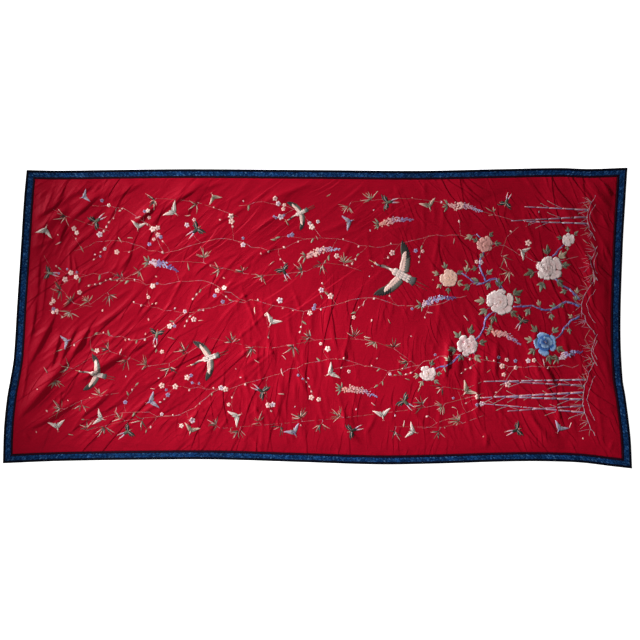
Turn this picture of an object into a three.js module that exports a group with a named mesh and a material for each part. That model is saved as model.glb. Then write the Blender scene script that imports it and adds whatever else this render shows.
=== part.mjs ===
// Embroidered silk panel: a crimson silk ground inside a blue brocade ribbon, with a dark edging on each side
// of the ribbon. It lies flat and face up, in the creases and soft folds that it was unpacked with.
// Millimetres: X runs along the panel, Y across it, Z is up, and the underside rests on z = 0.

import * as THREE from 'three';
import { ConvexHull } from 'three/addons/math/ConvexHull.js';

const SILK_THICKNESS = 1.5;
const RIBBON_THICKNESS = 2;
const EDGING_THICKNESS = 2.4;
const GAP = 0.3;

// Widths of the three bands, from the outer edge inwards, on the long sides and on the short ends.
const OUTER_BINDING = { long: 9, short: 9 };
const BROCADE = { long: 32, short: 35 };
const INNER_PIPING = { long: 6.5, short: 6.5 };

// How many straight steps the edges take from corner to corner, the same in every band.
const SIDE_STEPS = { long: 32, short: 16 };
// An edge table may be read this part of a step past its ends.
const EDGE_OVERRUN = 0.2;
// Two sides are followed in turn this often to find the corner where they meet.
const CORNER_ROUNDS = 8;

// Spacing of the silk's points: along the folds, in the open cloth, and the least between any two.
const FOLD_STATION_STEP = 48;
const OPEN_POINT_STEP = 82;
const OPEN_POINT_CLEARANCE = 34;
const LEAST_POINT_SPACING = 8;
const EDGE_CLEARANCE = 12;
const BOWL_DEPTH = 1000;
const LEAST_DOWNWARD = 1e-6;

// The silk comes down to its sewn edge over this width.
const EDGE_FADE = 45;
// A fold is narrower at its ends, and the cloth at its feet lifts with it over a wider strip.
const FOLD_END_NARROWING = 0.5;
const FOLD_FOOT = { widening: 2.4, share: 0.28 };

// The outer edges of the panel as it lies, each read from corner to corner.
const TOP_EDGE = [
  { x: -1556, y: 792 },
  { x: -1378, y: 789 },
  { x: -736, y: 797 },
  { x: 13, y: 792 },
  { x: 548, y: 788 },
  { x: 976, y: 797 },
  { x: 1297, y: 803 },
  { x: 1458, y: 798 },
  { x: 1658, y: 805 },
];
const BOTTOM_EDGE = [
  { x: -1683, y: -777 },
  { x: -1378, y: -765 },
  { x: -843, y: -757 },
  { x: -522, y: -757 },
  { x: -94, y: -770 },
  { x: 334, y: -783 },
  { x: 655, y: -778 },
  { x: 976, y: -768 },
  { x: 1190, y: -766 },
  { x: 1404, y: -773 },
  { x: 1576, y: -793 },
  { x: 1683, y: -805 },
];
const LEFT_EDGE = [
  { x: -1683, y: -777 },
  { x: -1677, y: -588 },
  { x: -1661, y: -428 },
  { x: -1642, y: -321 },
  { x: -1625, y: -214 },
  { x: -1608, y: 54 },
  { x: -1587, y: 375 },
  { x: -1570, y: 642 },
  { x: -1556, y: 792 },
];
const RIGHT_EDGE = [
  { x: 1683, y: -805 },
  { x: 1675, y: -642 },
  { x: 1649, y: -428 },
  { x: 1632, y: -321 },
  { x: 1621, y: -53 },
  { x: 1633, y: 375 },
  { x: 1648, y: 642 },
  { x: 1658, y: 805 },
];

// Each fold is a ridge along a line from (x1, y1) to (x2, y2), seen as walking from the first point to the
// second. bow carries its middle to the left, height is that of its crest, and left and right are the widths
// of its two flanks, so that a narrow flank is a steep one.
const FOLDS = [
  // Lower left corner, where the folds are deepest.
  { x1: -1555, y1: -275, x2: -1390, y2: 40, bow: 0, height: 16, left: 38, right: 20 },
  { x1: -1425, y1: -280, x2: -1370, y2: -65, bow: 0, height: 14, left: 50, right: 16 },
  { x1: -1380, y1: -255, x2: -1275, y2: -35, bow: 8, height: 13, left: 28, right: 18 },
  { x1: -1610, y1: -550, x2: -1320, y2: -210, bow: -5, height: 24, left: 55, right: 26 },
  { x1: -1325, y1: -225, x2: -1210, y2: -40, bow: 0, height: 15, left: 35, right: 18 },
  { x1: -1570, y1: -605, x2: -1270, y2: -435, bow: -6, height: 18, left: 45, right: 24 },
  { x1: -1290, y1: -345, x2: -1005, y2: -180, bow: 0, height: 14, left: 45, right: 20 },
  { x1: -1015, y1: -190, x2: -860, y2: -95, bow: 0, height: 7, left: 30, right: 14 },
  { x1: -1275, y1: -535, x2: -1075, y2: -380, bow: 0, height: 8, left: 35, right: 16 },
  { x1: -1230, y1: -145, x2: -1185, y2: -55, bow: 0, height: 6, left: 22, right: 14 },
  { x1: -1185, y1: -55, x2: -1065, y2: 30, bow: 0, height: 6, left: 25, right: 12 },
  { x1: -1060, y1: -105, x2: -855, y2: -10, bow: 0, height: 5, left: 25, right: 12 },
  { x1: -1380, y1: -505, x2: -1370, y2: -385, bow: 0, height: 5, left: 18, right: 12 },
  { x1: -1535, y1: -660, x2: -1570, y2: -610, bow: 0, height: 8, left: 20, right: 14 },
  { x1: -1380, y1: -610, x2: -895, y2: -680, bow: -8, height: 3, left: 30, right: 14 },
  // Left margin.
  { x1: -1600, y1: -505, x2: -1550, y2: -145, bow: -14, height: 9, left: 32, right: 16 },
  { x1: -1555, y1: -180, x2: -1500, y2: 120, bow: -8, height: 8, left: 28, right: 13 },
  { x1: -1495, y1: 95, x2: -1480, y2: 335, bow: 4, height: 7, left: 25, right: 13 },
  { x1: -1475, y1: 0, x2: -1445, y2: 270, bow: 0, height: 5, left: 20, right: 13 },
  { x1: -1535, y1: 365, x2: -1400, y2: 425, bow: 0, height: 8, left: 30, right: 14 },
  { x1: -1320, y1: 220, x2: -1325, y2: 360, bow: 0, height: 6, left: 14, right: 12 },
  { x1: -1280, y1: 215, x2: -1305, y2: 335, bow: 0, height: 5, left: 12, right: 12 },
  // Upper left corner.
  { x1: -1525, y1: 530, x2: -1345, y2: 655, bow: -12, height: 14, left: 50, right: 17 },
  { x1: -1345, y1: 640, x2: -1165, y2: 715, bow: 0, height: 7, left: 35, right: 14 },
  { x1: -1505, y1: 460, x2: -1325, y2: 600, bow: 0, height: 14, left: 24, right: 60 },
  { x1: -1325, y1: 600, x2: -1095, y2: 685, bow: 4, height: 8, left: 22, right: 50 },
  { x1: -1385, y1: 385, x2: -1335, y2: 515, bow: 6, height: 12, left: 35, right: 18 },
  { x1: -1335, y1: 510, x2: -1165, y2: 655, bow: 0, height: 11, left: 35, right: 15 },
  { x1: -1100, y1: 630, x2: -905, y2: 740, bow: 0, height: 7, left: 30, right: 13 },
  { x1: -1005, y1: 480, x2: -835, y2: 625, bow: 0, height: 11, left: 40, right: 15 },
  { x1: -805, y1: 580, x2: -615, y2: 715, bow: 4, height: 10, left: 40, right: 15 },
  { x1: -1335, y1: 355, x2: -1240, y2: 440, bow: 0, height: 6, left: 20, right: 12 },
  { x1: -1290, y1: 455, x2: -1130, y2: 600, bow: 0, height: 5, left: 18, right: 12 },
  { x1: -1270, y1: 405, x2: -1175, y2: 500, bow: 0, height: 4, left: 16, right: 12 },
  { x1: -1460, y1: 560, x2: -1410, y2: 685, bow: 0, height: 6, left: 18, right: 13 },
  { x1: -1505, y1: 630, x2: -1420, y2: 700, bow: 0, height: 5, left: 20, right: 13 },
  { x1: -1400, y1: 615, x2: -1345, y2: 715, bow: 0, height: 5, left: 18, right: 13 },
  { x1: -1060, y1: 255, x2: -985, y2: 350, bow: 0, height: 5, left: 20, right: 12 },
  { x1: -1075, y1: 205, x2: -990, y2: 260, bow: 0, height: 6, left: 20, right: 13 },
  { x1: -1105, y1: 90, x2: -1000, y2: 150, bow: 0, height: 5, left: 20, right: 12 },
  // Upper middle.
  { x1: -585, y1: 475, x2: -350, y2: 615, bow: 0, height: 7, left: 22, right: 18 },
  { x1: -360, y1: 605, x2: -255, y2: 690, bow: 0, height: 5, left: 16, right: 15 },
  { x1: -360, y1: 590, x2: 10, y2: 735, bow: 3, height: 7, left: 22, right: 24 },
  { x1: -360, y1: 455, x2: -130, y2: 590, bow: 4, height: 7, left: 25, right: 22 },
  { x1: -515, y1: 310, x2: -405, y2: 355, bow: 3, height: 5, left: 18, right: 16 },
  { x1: -345, y1: 315, x2: -205, y2: 390, bow: 3, height: 6, left: 18, right: 15 },
  { x1: -620, y1: 690, x2: -420, y2: 745, bow: 3, height: 5, left: 18, right: 14 },
  { x1: -705, y1: 690, x2: -560, y2: 745, bow: 2, height: 5, left: 18, right: 14 },
  { x1: 25, y1: 455, x2: 270, y2: 545, bow: 3, height: 5, left: 26, right: 24 },
  { x1: 90, y1: 280, x2: 185, y2: 430, bow: -14, height: 4, left: 20, right: 16 },
  { x1: 630, y1: 580, x2: 1055, y2: 715, bow: 0, height: 4, left: 50, right: 50 },
  // Upper right corner.
  { x1: 1590, y1: 630, x2: 1520, y2: 745, bow: 4, height: 9, left: 20, right: 15 },
  { x1: 1490, y1: 560, x2: 1380, y2: 740, bow: -12, height: 8, left: 20, right: 15 },
  { x1: 1560, y1: 465, x2: 1520, y2: 575, bow: 0, height: 5, left: 16, right: 13 },
  { x1: 1510, y1: 170, x2: 1415, y2: 385, bow: 0, height: 8, left: 20, right: 14 },
  { x1: 1480, y1: 30, x2: 1445, y2: 330, bow: 3, height: 6, left: 15, right: 15 },
  // Lower middle.
  { x1: -395, y1: -260, x2: -275, y2: -190, bow: 3, height: 7, left: 22, right: 18 },
  { x1: -280, y1: -585, x2: -360, y2: -430, bow: 0, height: 6, left: 20, right: 14 },
  { x1: -360, y1: -430, x2: -405, y2: -265, bow: 0, height: 6, left: 18, right: 14 },
  { x1: -235, y1: -485, x2: -365, y2: -300, bow: 0, height: 4, left: 16, right: 14 },
  { x1: -410, y1: -660, x2: -495, y2: -560, bow: 0, height: 5, left: 16, right: 14 },
  { x1: -595, y1: -510, x2: -660, y2: -445, bow: 0, height: 4, left: 14, right: 12 },
  { x1: -555, y1: -620, x2: -630, y2: -530, bow: 0, height: 4, left: 14, right: 12 },
  { x1: -845, y1: -565, x2: -485, y2: -505, bow: 2, height: 4, left: 14, right: 12 },
  { x1: 25, y1: -330, x2: 15, y2: -200, bow: 0, height: 4, left: 16, right: 14 },
  { x1: 90, y1: -355, x2: 55, y2: -200, bow: 0, height: 5, left: 16, right: 14 },
  { x1: 130, y1: -275, x2: 160, y2: -85, bow: -6, height: 6, left: 18, right: 16 },
  { x1: 220, y1: -600, x2: 105, y2: -485, bow: 0, height: 6, left: 18, right: 15 },
  { x1: 235, y1: -680, x2: 120, y2: -540, bow: 0, height: 8, left: 25, right: 18 },
  { x1: 250, y1: -630, x2: 315, y2: -495, bow: -8, height: 5, left: 15, right: 15 },
  // Lower right.
  { x1: 680, y1: -340, x2: 715, y2: -105, bow: 0, height: 12, left: 32, right: 15 },
  { x1: 750, y1: -340, x2: 770, y2: -170, bow: 0, height: 6, left: 40, right: 22 },
  { x1: 860, y1: -545, x2: 855, y2: -235, bow: 3, height: 9, left: 28, right: 14 },
  { x1: 905, y1: -700, x2: 910, y2: -600, bow: 0, height: 6, left: 18, right: 13 },
  { x1: 955, y1: -330, x2: 965, y2: -115, bow: 3, height: 8, left: 25, right: 14 },
  { x1: 890, y1: -320, x2: 885, y2: -180, bow: 0, height: 5, left: 14, right: 12 },
  { x1: 1130, y1: -340, x2: 1085, y2: -225, bow: 0, height: 6, left: 16, right: 14 },
  { x1: 1160, y1: -185, x2: 1190, y2: -30, bow: 12, height: 8, left: 18, right: 15 },
  { x1: 1195, y1: -355, x2: 1165, y2: -215, bow: 0, height: 6, left: 16, right: 13 },
  { x1: 1290, y1: -390, x2: 1190, y2: -210, bow: 0, height: 11, left: 35, right: 17 },
  { x1: 1380, y1: -240, x2: 1320, y2: -95, bow: 14, height: 8, left: 22, right: 14 },
  { x1: 1255, y1: -670, x2: 1080, y2: -455, bow: 0, height: 7, left: 22, right: 14 },
  { x1: 1310, y1: -610, x2: 1275, y2: -450, bow: 0, height: 7, left: 18, right: 14 },
  { x1: 1045, y1: -560, x2: 870, y2: -390, bow: 0, height: 4, left: 18, right: 14 },
  { x1: 1600, y1: -450, x2: 1535, y2: -205, bow: -8, height: 8, left: 25, right: 17 },
];

// Broad low swells that carry groups of folds: centre, half length, half width, turn of the long axis from X
// in degrees anticlockwise, and height.
const SWELLS = [
  { x: -1420, y: -330, reach: 430, width: 150, turn: 52, height: 9 },
  { x: -1150, y: -240, reach: 400, width: 120, turn: 32, height: 7 },
  { x: -1180, y: -450, reach: 330, width: 90, turn: 36, height: 4 },
  { x: -1550, y: 60, reach: 430, width: 60, turn: 84, height: 5 },
  { x: -1420, y: 560, reach: 270, width: 130, turn: 36, height: 7 },
  { x: -1210, y: 610, reach: 320, width: 90, turn: 36, height: 5 },
  { x: -920, y: 560, reach: 260, width: 95, turn: 40, height: 5 },
  { x: -700, y: 650, reach: 240, width: 80, turn: 35, height: 5 },
  { x: -190, y: 650, reach: 360, width: 75, turn: 24, height: 4 },
  { x: -250, y: 500, reach: 320, width: 75, turn: 28, height: 3 },
  { x: -340, y: -400, reach: 260, width: 95, turn: 112, height: 4 },
  { x: 90, y: -300, reach: 260, width: 100, turn: 88, height: 4 },
  { x: 170, y: -590, reach: 170, width: 85, turn: 130, height: 4 },
  { x: 715, y: -230, reach: 220, width: 90, turn: 86, height: 5 },
  { x: 900, y: -340, reach: 280, width: 100, turn: 91, height: 4 },
  { x: 1210, y: -290, reach: 260, width: 115, turn: 112, height: 5 },
  { x: 1190, y: -570, reach: 220, width: 85, turn: 126, height: 3 },
  { x: 1490, y: 230, reach: 330, width: 75, turn: 104, height: 4 },
  { x: 1500, y: 660, reach: 150, width: 70, turn: 120, height: 4 },
];

// The second coordinate at a place along a table of edge points, on a smooth line through them.
function edgeAt(edge, along, across, place) {
  const last = edge.length - 1;
  let i = 0;
  while (i < last - 1 && place > edge[i + 1][along]) i += 1;
  const slopeAt = (k) => {
    const before = edge[Math.max(k - 1, 0)];
    const after = edge[Math.min(k + 1, last)];
    return (after[across] - before[across]) / (after[along] - before[along]);
  };
  const span = edge[i + 1][along] - edge[i][along];
  const t = THREE.MathUtils.clamp((place - edge[i][along]) / span, -EDGE_OVERRUN, 1 + EDGE_OVERRUN);
  const start = (1 + 2 * t) * (1 - t) ** 2 * edge[i][across] + t * (1 - t) ** 2 * slopeAt(i) * span;
  const end = t * t * (3 - 2 * t) * edge[i + 1][across] - t * t * (1 - t) * slopeAt(i + 1) * span;
  return start + end;
}

const topAt = (x) => edgeAt(TOP_EDGE, 'x', 'y', x);
const bottomAt = (x) => edgeAt(BOTTOM_EDGE, 'x', 'y', x);
const leftAt = (y) => edgeAt(LEFT_EDGE, 'y', 'x', y);
const rightAt = (y) => edgeAt(RIGHT_EDGE, 'y', 'x', y);

// A line around the panel that lies some way in from its outer edge, as its four sides and its corners.
function insetFrame(inset) {
  const top = (x) => topAt(x) - inset.long;
  const bottom = (x) => bottomAt(x) + inset.long;
  const left = (y) => leftAt(y) + inset.short;
  const right = (y) => rightAt(y) - inset.short;
  const corner = (sideX, sideY) => {
    const place = new THREE.Vector2();
    for (let round = 0; round < CORNER_ROUNDS; round += 1) {
      place.x = sideX(place.y);
      place.y = sideY(place.x);
    }
    return place;
  };
  return {
    top,
    bottom,
    left,
    right,
    bottomLeft: corner(left, bottom),
    bottomRight: corner(right, bottom),
    topRight: corner(right, top),
    topLeft: corner(left, top),
  };
}

const addInsets = (...insets) => ({
  long: insets.reduce((sum, inset) => sum + inset.long, 0),
  short: insets.reduce((sum, inset) => sum + inset.short, 0),
});
const HALF_GAP = { long: GAP / 2, short: GAP / 2 };
const MINUS_HALF_GAP = { long: -GAP / 2, short: -GAP / 2 };

// Points from one corner of a frame to the next, with both ends drawn back by the same small amount.
function sidePoints(frame, side, drawBack) {
  const ends = {
    bottom: [frame.bottomLeft, frame.bottomRight],
    right: [frame.bottomRight, frame.topRight],
    top: [frame.topRight, frame.topLeft],
    left: [frame.topLeft, frame.bottomLeft],
  }[side];
  const runsAlongX = side === 'top' || side === 'bottom';
  const axis = runsAlongX ? 'x' : 'y';
  const way = Math.sign(ends[1][axis] - ends[0][axis]);
  const start = ends[0][axis] + way * drawBack;
  const end = ends[1][axis] - way * drawBack;
  const count = runsAlongX ? SIDE_STEPS.long : SIDE_STEPS.short;
  return Array.from({ length: count + 1 }, (_, i) => {
    const place = start + ((end - start) * i) / count;
    const across = frame[side](place);
    return runsAlongX ? new THREE.Vector2(place, across) : new THREE.Vector2(across, place);
  });
}

// One length of ribbon or edging along one side, mitred at both ends.
function bandGeometry(side, outerInset, innerInset, thickness) {
  const mitreGap = GAP * Math.SQRT1_2;
  const outer = sidePoints(insetFrame(addInsets(outerInset, HALF_GAP)), side, mitreGap);
  const inner = sidePoints(insetFrame(addInsets(innerInset, MINUS_HALF_GAP)), side, mitreGap);
  const outline = new THREE.Shape([...outer, ...inner.reverse()]);
  return new THREE.ExtrudeGeometry(outline, { depth: thickness, bevelEnabled: false });
}

const bell = (part) => (part < 1 ? (1 + Math.cos(Math.PI * part)) / 2 : 0);
const rise = (part) => Math.sin(Math.PI * THREE.MathUtils.clamp(part, 0, 1));

// The line, flanks and crest height of a fold at a part of its length.
function foldSection(fold, part) {
  const run = new THREE.Vector2(fold.x2 - fold.x1, fold.y2 - fold.y1);
  const toLeft = new THREE.Vector2(-run.y, run.x).normalize();
  const bowed = 4 * fold.bow * part * (1 - part);
  const narrowing = 1 - FOLD_END_NARROWING * (1 - rise(part));
  return {
    centre: new THREE.Vector2(fold.x1, fold.y1).addScaledVector(run, part).addScaledVector(toLeft, bowed),
    toLeft,
    left: fold.left * narrowing,
    right: fold.right * narrowing,
    crest: fold.height * rise(part),
  };
}

// How high one fold lifts the cloth at a place.
function foldHeight(fold, place) {
  const run = new THREE.Vector2(fold.x2 - fold.x1, fold.y2 - fold.y1);
  const part = new THREE.Vector2(place.x - fold.x1, place.y - fold.y1).dot(run) / run.lengthSq();
  if (part <= 0 || part >= 1) return 0;
  const section = foldSection(fold, part);
  const sideways = place.clone().sub(section.centre).dot(section.toLeft);
  const flank = sideways > 0 ? section.left : section.right;
  const reach = Math.abs(sideways) / flank;
  const ridge = (1 - FOLD_FOOT.share) * bell(reach);
  const foot = FOLD_FOOT.share * bell(reach / FOLD_FOOT.widening);
  return section.crest * (ridge + foot);
}

// How high one broad swell lifts the cloth at a place.
function swellHeight(swell, place) {
  const fromCentre = new THREE.Vector2(place.x - swell.x, place.y - swell.y);
  const along = fromCentre.rotateAround(new THREE.Vector2(), -THREE.MathUtils.degToRad(swell.turn));
  return swell.height * bell(Math.hypot(along.x / swell.reach, along.y / swell.width));
}

// How far a place lies inside the edge of the silk.
const depthInside = (frame, place) => Math.min(
  frame.top(place.x) - place.y,
  place.y - frame.bottom(place.x),
  place.x - frame.left(place.y),
  frame.right(place.y) - place.x,
);

// The height of the cloth's underside: the sum of its swells and folds, fading out at the sewn edge.
function clothHeight(frame, place) {
  const fade = THREE.MathUtils.smoothstep(depthInside(frame, place), 0, EDGE_FADE);
  const swells = SWELLS.reduce((sum, swell) => sum + swellHeight(swell, place), 0);
  const folds = FOLDS.reduce((sum, fold) => sum + foldHeight(fold, place), 0);
  return fade * (swells + folds);
}

// The silk's rim, anticlockwise from its bottom left corner.
function rimPoints(frame) {
  return ['bottom', 'right', 'top', 'left'].flatMap((side) => sidePoints(frame, side, 0).slice(0, -1));
}

// Points on a fold's crest, halfway down its flanks and along its feet.
function foldPoints(fold) {
  const length = Math.hypot(fold.x2 - fold.x1, fold.y2 - fold.y1);
  const stations = Math.max(3, Math.round(length / FOLD_STATION_STEP));
  const points = [];
  for (let i = 0; i <= stations; i += 1) {
    const section = foldSection(fold, i / stations);
    const isEnd = i === 0 || i === stations;
    const offsets = isEnd ? [0] : [0, section.left, -section.right, section.left / 2, -section.right / 2];
    points.push(...offsets.map((offset) => section.centre.clone().addScaledVector(section.toLeft, offset)));
  }
  return points;
}

// A staggered net of points for the open cloth between the folds.
function openPoints(frame) {
  const points = [];
  const low = Math.min(frame.bottomLeft.y, frame.bottomRight.y);
  const rows = Math.ceil((frame.topRight.y - low) / OPEN_POINT_STEP);
  const columns = Math.ceil((frame.bottomRight.x - frame.bottomLeft.x) / OPEN_POINT_STEP);
  for (let row = 1; row < rows; row += 1) {
    for (let column = 0; column <= columns; column += 1) {
      const x = frame.bottomLeft.x + (column + (row % 2) / 2) * OPEN_POINT_STEP;
      points.push(new THREE.Vector2(x, low + row * OPEN_POINT_STEP));
    }
  }
  return points;
}

// Every point of the silk: the rim first, then the folds from the highest down, then the open cloth.
function clothPoints(frame) {
  const kept = rimPoints(frame);
  const keep = (point, spacing) => {
    if (depthInside(frame, point) < EDGE_CLEARANCE) return;
    if (kept.some((other) => other.distanceTo(point) < spacing)) return;
    kept.push(point);
  };
  const byHeight = [...FOLDS].sort((a, b) => b.height - a.height);
  byHeight.flatMap(foldPoints).forEach((point) => keep(point, LEAST_POINT_SPACING));
  openPoints(frame).forEach((point) => keep(point, OPEN_POINT_CLEARANCE));
  return kept;
}

// The cloth pulled out into a rectangle, so that its four edges are straight.
function straighten(frame, point) {
  const across = (point.x - frame.left(point.y)) / (frame.right(point.y) - frame.left(point.y));
  const up = (point.y - frame.bottom(point.x)) / (frame.top(point.x) - frame.bottom(point.x));
  return { across: THREE.MathUtils.clamp(across, 0, 1), up: THREE.MathUtils.clamp(up, 0, 1) };
}

// Joins the points into well-shaped triangles: lifted onto a bowl, they are the lower faces of their hull.
function triangulate(frame, points) {
  const length = frame.topRight.x - frame.topLeft.x;
  const width = frame.topRight.y - frame.bottomRight.y;
  const onBowl = points.map((point) => {
    const { across, up } = straighten(frame, point);
    const x = (across - 0.5) * length;
    const y = (up - 0.5) * width;
    return new THREE.Vector3(x, y, (x * x + y * y) / BOWL_DEPTH);
  });
  const indexOf = new Map(onBowl.map((point, index) => [point, index]));
  const triangles = [];
  new ConvexHull().setFromPoints(onBowl).faces.forEach((face) => {
    if (face.normal.z > -LEAST_DOWNWARD) return;
    const { edge } = face;
    const [a, b, c] = [edge.head().point, edge.next.head().point, edge.prev.head().point];
    triangles.push([indexOf.get(a), indexOf.get(c), indexOf.get(b)]);
  });
  return triangles;
}

// The silk as a closed sheet of even thickness that follows its folds on both faces.
function silkGeometry(frame) {
  const points = clothPoints(frame);
  const triangles = triangulate(frame, points);
  const rimCount = rimPoints(frame).length;
  const count = points.length;
  const heights = points.map((point) => clothHeight(frame, point));
  const positions = [
    ...points.flatMap((point, i) => [point.x, point.y, heights[i] + SILK_THICKNESS]),
    ...points.flatMap((point, i) => [point.x, point.y, heights[i]]),
  ];
  const faces = triangles.flatMap(([a, b, c]) => [a, b, c, count + a, count + c, count + b]);
  for (let i = 0; i < rimCount; i += 1) {
    const next = (i + 1) % rimCount;
    faces.push(i, count + i, count + next, i, count + next, next);
  }
  const geometry = new THREE.BufferGeometry();
  geometry.setAttribute('position', new THREE.Float32BufferAttribute(positions, 3));
  geometry.setIndex(faces);
  geometry.computeVertexNormals();
  return geometry;
}

const MATERIALS = {
  silk: new THREE.MeshStandardMaterial({ color: 0x9e0b24, roughness: 0.48, metalness: 0 }),
  brocade: new THREE.MeshStandardMaterial({ color: 0x1c3257, roughness: 0.55, metalness: 0 }),
  edging: new THREE.MeshStandardMaterial({ color: 0x070a18, roughness: 0.7, metalness: 0 }),
};

function namedMesh(name, geometry, material) {
  const mesh = new THREE.Mesh(geometry, material);
  mesh.name = name;
  return mesh;
}

// The bands that frame the silk, from the outer edge inwards.
const NO_INSET = { long: 0, short: 0 };
const RIBBON_INSET = OUTER_BINDING;
const PIPING_INSET = addInsets(OUTER_BINDING, BROCADE);
const SILK_INSET = addInsets(PIPING_INSET, INNER_PIPING);
const BANDS = [
  { name: 'outer_binding', from: NO_INSET, to: RIBBON_INSET, thick: EDGING_THICKNESS, cloth: 'edging' },
  { name: 'brocade_border', from: RIBBON_INSET, to: PIPING_INSET, thick: RIBBON_THICKNESS, cloth: 'brocade' },
  { name: 'inner_piping', from: PIPING_INSET, to: SILK_INSET, thick: EDGING_THICKNESS, cloth: 'edging' },
];

function silkPanel() {
  const panel = new THREE.Group();
  const silkFrame = insetFrame(addInsets(SILK_INSET, HALF_GAP));
  panel.add(namedMesh('silk_ground', silkGeometry(silkFrame), MATERIALS.silk));
  BANDS.forEach((band) => {
    ['top', 'right', 'bottom', 'left'].forEach((side) => {
      const geometry = bandGeometry(side, band.from, band.to, band.thick);
      panel.add(namedMesh(`${band.name}_${side}`, geometry, MATERIALS[band.cloth]));
    });
  });
  return panel;
}

export default silkPanel();
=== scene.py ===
import math

import bpy
import numpy as np
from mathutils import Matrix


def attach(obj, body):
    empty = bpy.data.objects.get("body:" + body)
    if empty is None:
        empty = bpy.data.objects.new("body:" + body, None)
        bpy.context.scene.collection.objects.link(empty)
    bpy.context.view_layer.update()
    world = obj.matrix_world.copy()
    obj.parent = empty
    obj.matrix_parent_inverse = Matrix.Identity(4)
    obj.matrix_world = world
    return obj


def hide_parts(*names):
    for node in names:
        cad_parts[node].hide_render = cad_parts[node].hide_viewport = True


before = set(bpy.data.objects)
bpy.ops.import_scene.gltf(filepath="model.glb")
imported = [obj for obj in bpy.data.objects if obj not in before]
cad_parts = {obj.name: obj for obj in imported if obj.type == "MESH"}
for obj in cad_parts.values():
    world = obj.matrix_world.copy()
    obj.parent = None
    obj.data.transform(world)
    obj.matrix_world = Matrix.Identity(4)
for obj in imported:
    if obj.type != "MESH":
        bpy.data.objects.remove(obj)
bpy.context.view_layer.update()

# The camera looks straight down on the middle of the photographed field, from far enough up to show no
# perspective. The field is as wide as the whole photo.
FIELD_WIDTH = 3.424
FIELD_CENTRE = (0.0134, -0.0104)
CAMERA_HEIGHT = 8.0
camera_data = bpy.data.cameras.new("camera")
camera_data.lens = camera_data.sensor_width * CAMERA_HEIGHT / FIELD_WIDTH
camera = bpy.data.objects.new("camera", camera_data)
camera.location = (*FIELD_CENTRE, CAMERA_HEIGHT)
bpy.context.collection.objects.link(camera)
bpy.context.scene.camera = camera
bpy.context.scene.view_settings.view_transform = "Standard"

# The studio has a plain white floor that glows a little, so that it stays pale where the light falls off. Two
# heads on one stand at the upper left rake across the folds, and a weak wide light hangs over the left half.
FLOOR_HALF_WIDTH = 30.0
FLOOR_DROP = 0.001
FLOOR_GLOW = 1.0
FLOOR_WHITE = (0.9, 0.9, 0.9, 1)
FLOOR_ROUGHNESS = 0.9
WHITE_LIGHT = (1, 1, 1, 1)
FILL_STRENGTH = 0.125
KEY_PLACE = (-5.2, 2.4, 2.4)
KEY_RADIUS = 0.25
KEY_LIGHTS = {
    "lower_key": {"aim": (0.6, -1.2, 0), "cone": 24, "power": 2950},
    "upper_key": {"aim": (1.2, 0.6, 0), "cone": 32, "power": 2750},
}
TOP_LIGHT = {"place": (-1.0, -1.4, 1.8), "size": 1.2, "power": 14}


def set_inputs(node, **values):
    """Sets a node's own sockets, which are named with _ for a space."""
    for name, value in values.items():
        node.inputs[name.replace("_", " ")].default_value = value


floor_mesh = bpy.data.meshes.new("floor")
corners = [(-1, -1), (1, -1), (1, 1), (-1, 1)]
floor_points = [(x * FLOOR_HALF_WIDTH, y * FLOOR_HALF_WIDTH, -FLOOR_DROP) for x, y in corners]
floor_mesh.from_pydata(floor_points, [], [range(4)])
floor = bpy.data.objects.new("floor", floor_mesh)
bpy.context.collection.objects.link(floor)
floor_paint = bpy.data.materials.new("floor_paint")
floor_paint.use_nodes = True
floor_shader = floor_paint.node_tree.nodes["Principled BSDF"]
set_inputs(
    floor_shader,
    Base_Color=FLOOR_WHITE,
    Roughness=FLOOR_ROUGHNESS,
    Emission_Color=WHITE_LIGHT,
    Emission_Strength=FLOOR_GLOW,
)
floor_mesh.materials.append(floor_paint)

world = bpy.data.worlds.new("studio")
bpy.context.scene.world = world
world.use_nodes = True
set_inputs(world.node_tree.nodes["Background"], Color=WHITE_LIGHT, Strength=FILL_STRENGTH)

for name, head in KEY_LIGHTS.items():
    key_data = bpy.data.lights.new(name, "SPOT")
    key_data.energy = head["power"]
    key_data.spot_size = math.radians(head["cone"])
    key_data.spot_blend = 1.0
    key_data.shadow_soft_size = KEY_RADIUS
    key_light = bpy.data.objects.new(name, key_data)
    key_light.location = KEY_PLACE
    ray = np.subtract(head["aim"], KEY_PLACE)
    tilt = math.acos(-ray[2] / np.linalg.norm(ray))
    key_light.rotation_euler = (tilt, 0, math.atan2(ray[1], ray[0]) - math.pi / 2)
    bpy.context.collection.objects.link(key_light)

top_data = bpy.data.lights.new("top_light", "AREA")
top_data.energy = TOP_LIGHT["power"]
top_data.size = TOP_LIGHT["size"]
top_light = bpy.data.objects.new("top_light", top_data)
top_light.location = TOP_LIGHT["place"]
bpy.context.collection.objects.link(top_light)

# The ground is one width of thin crimson satin, about 3.15 m by 1.48 m inside its border. It lies loose: long
# soft folds run up from the lower left corner and the left margin, shorter ones cross the rest, and small dry
# wrinkles stand between them. Its edges are sewn down under the piping, where every fold fades out.
MM = 0.001
SILK_THICKNESS = 1.5 * MM
SILK_INSET = (46 * MM, 49 * MM)
EDGE_OVERRUN = 0.2
CORNER_ROUNDS = 8
EDGE_FADE = 45 * MM
FOLD_END_NARROWING = 0.5
FOLD_FOOT_WIDENING = 2.4
FOLD_FOOT_SHARE = 0.2
FOLD_SETTLING = 0.82
FLANK_SHARES = (1.32, 0.76)
TIGHTEST_FLANK = 9

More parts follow.
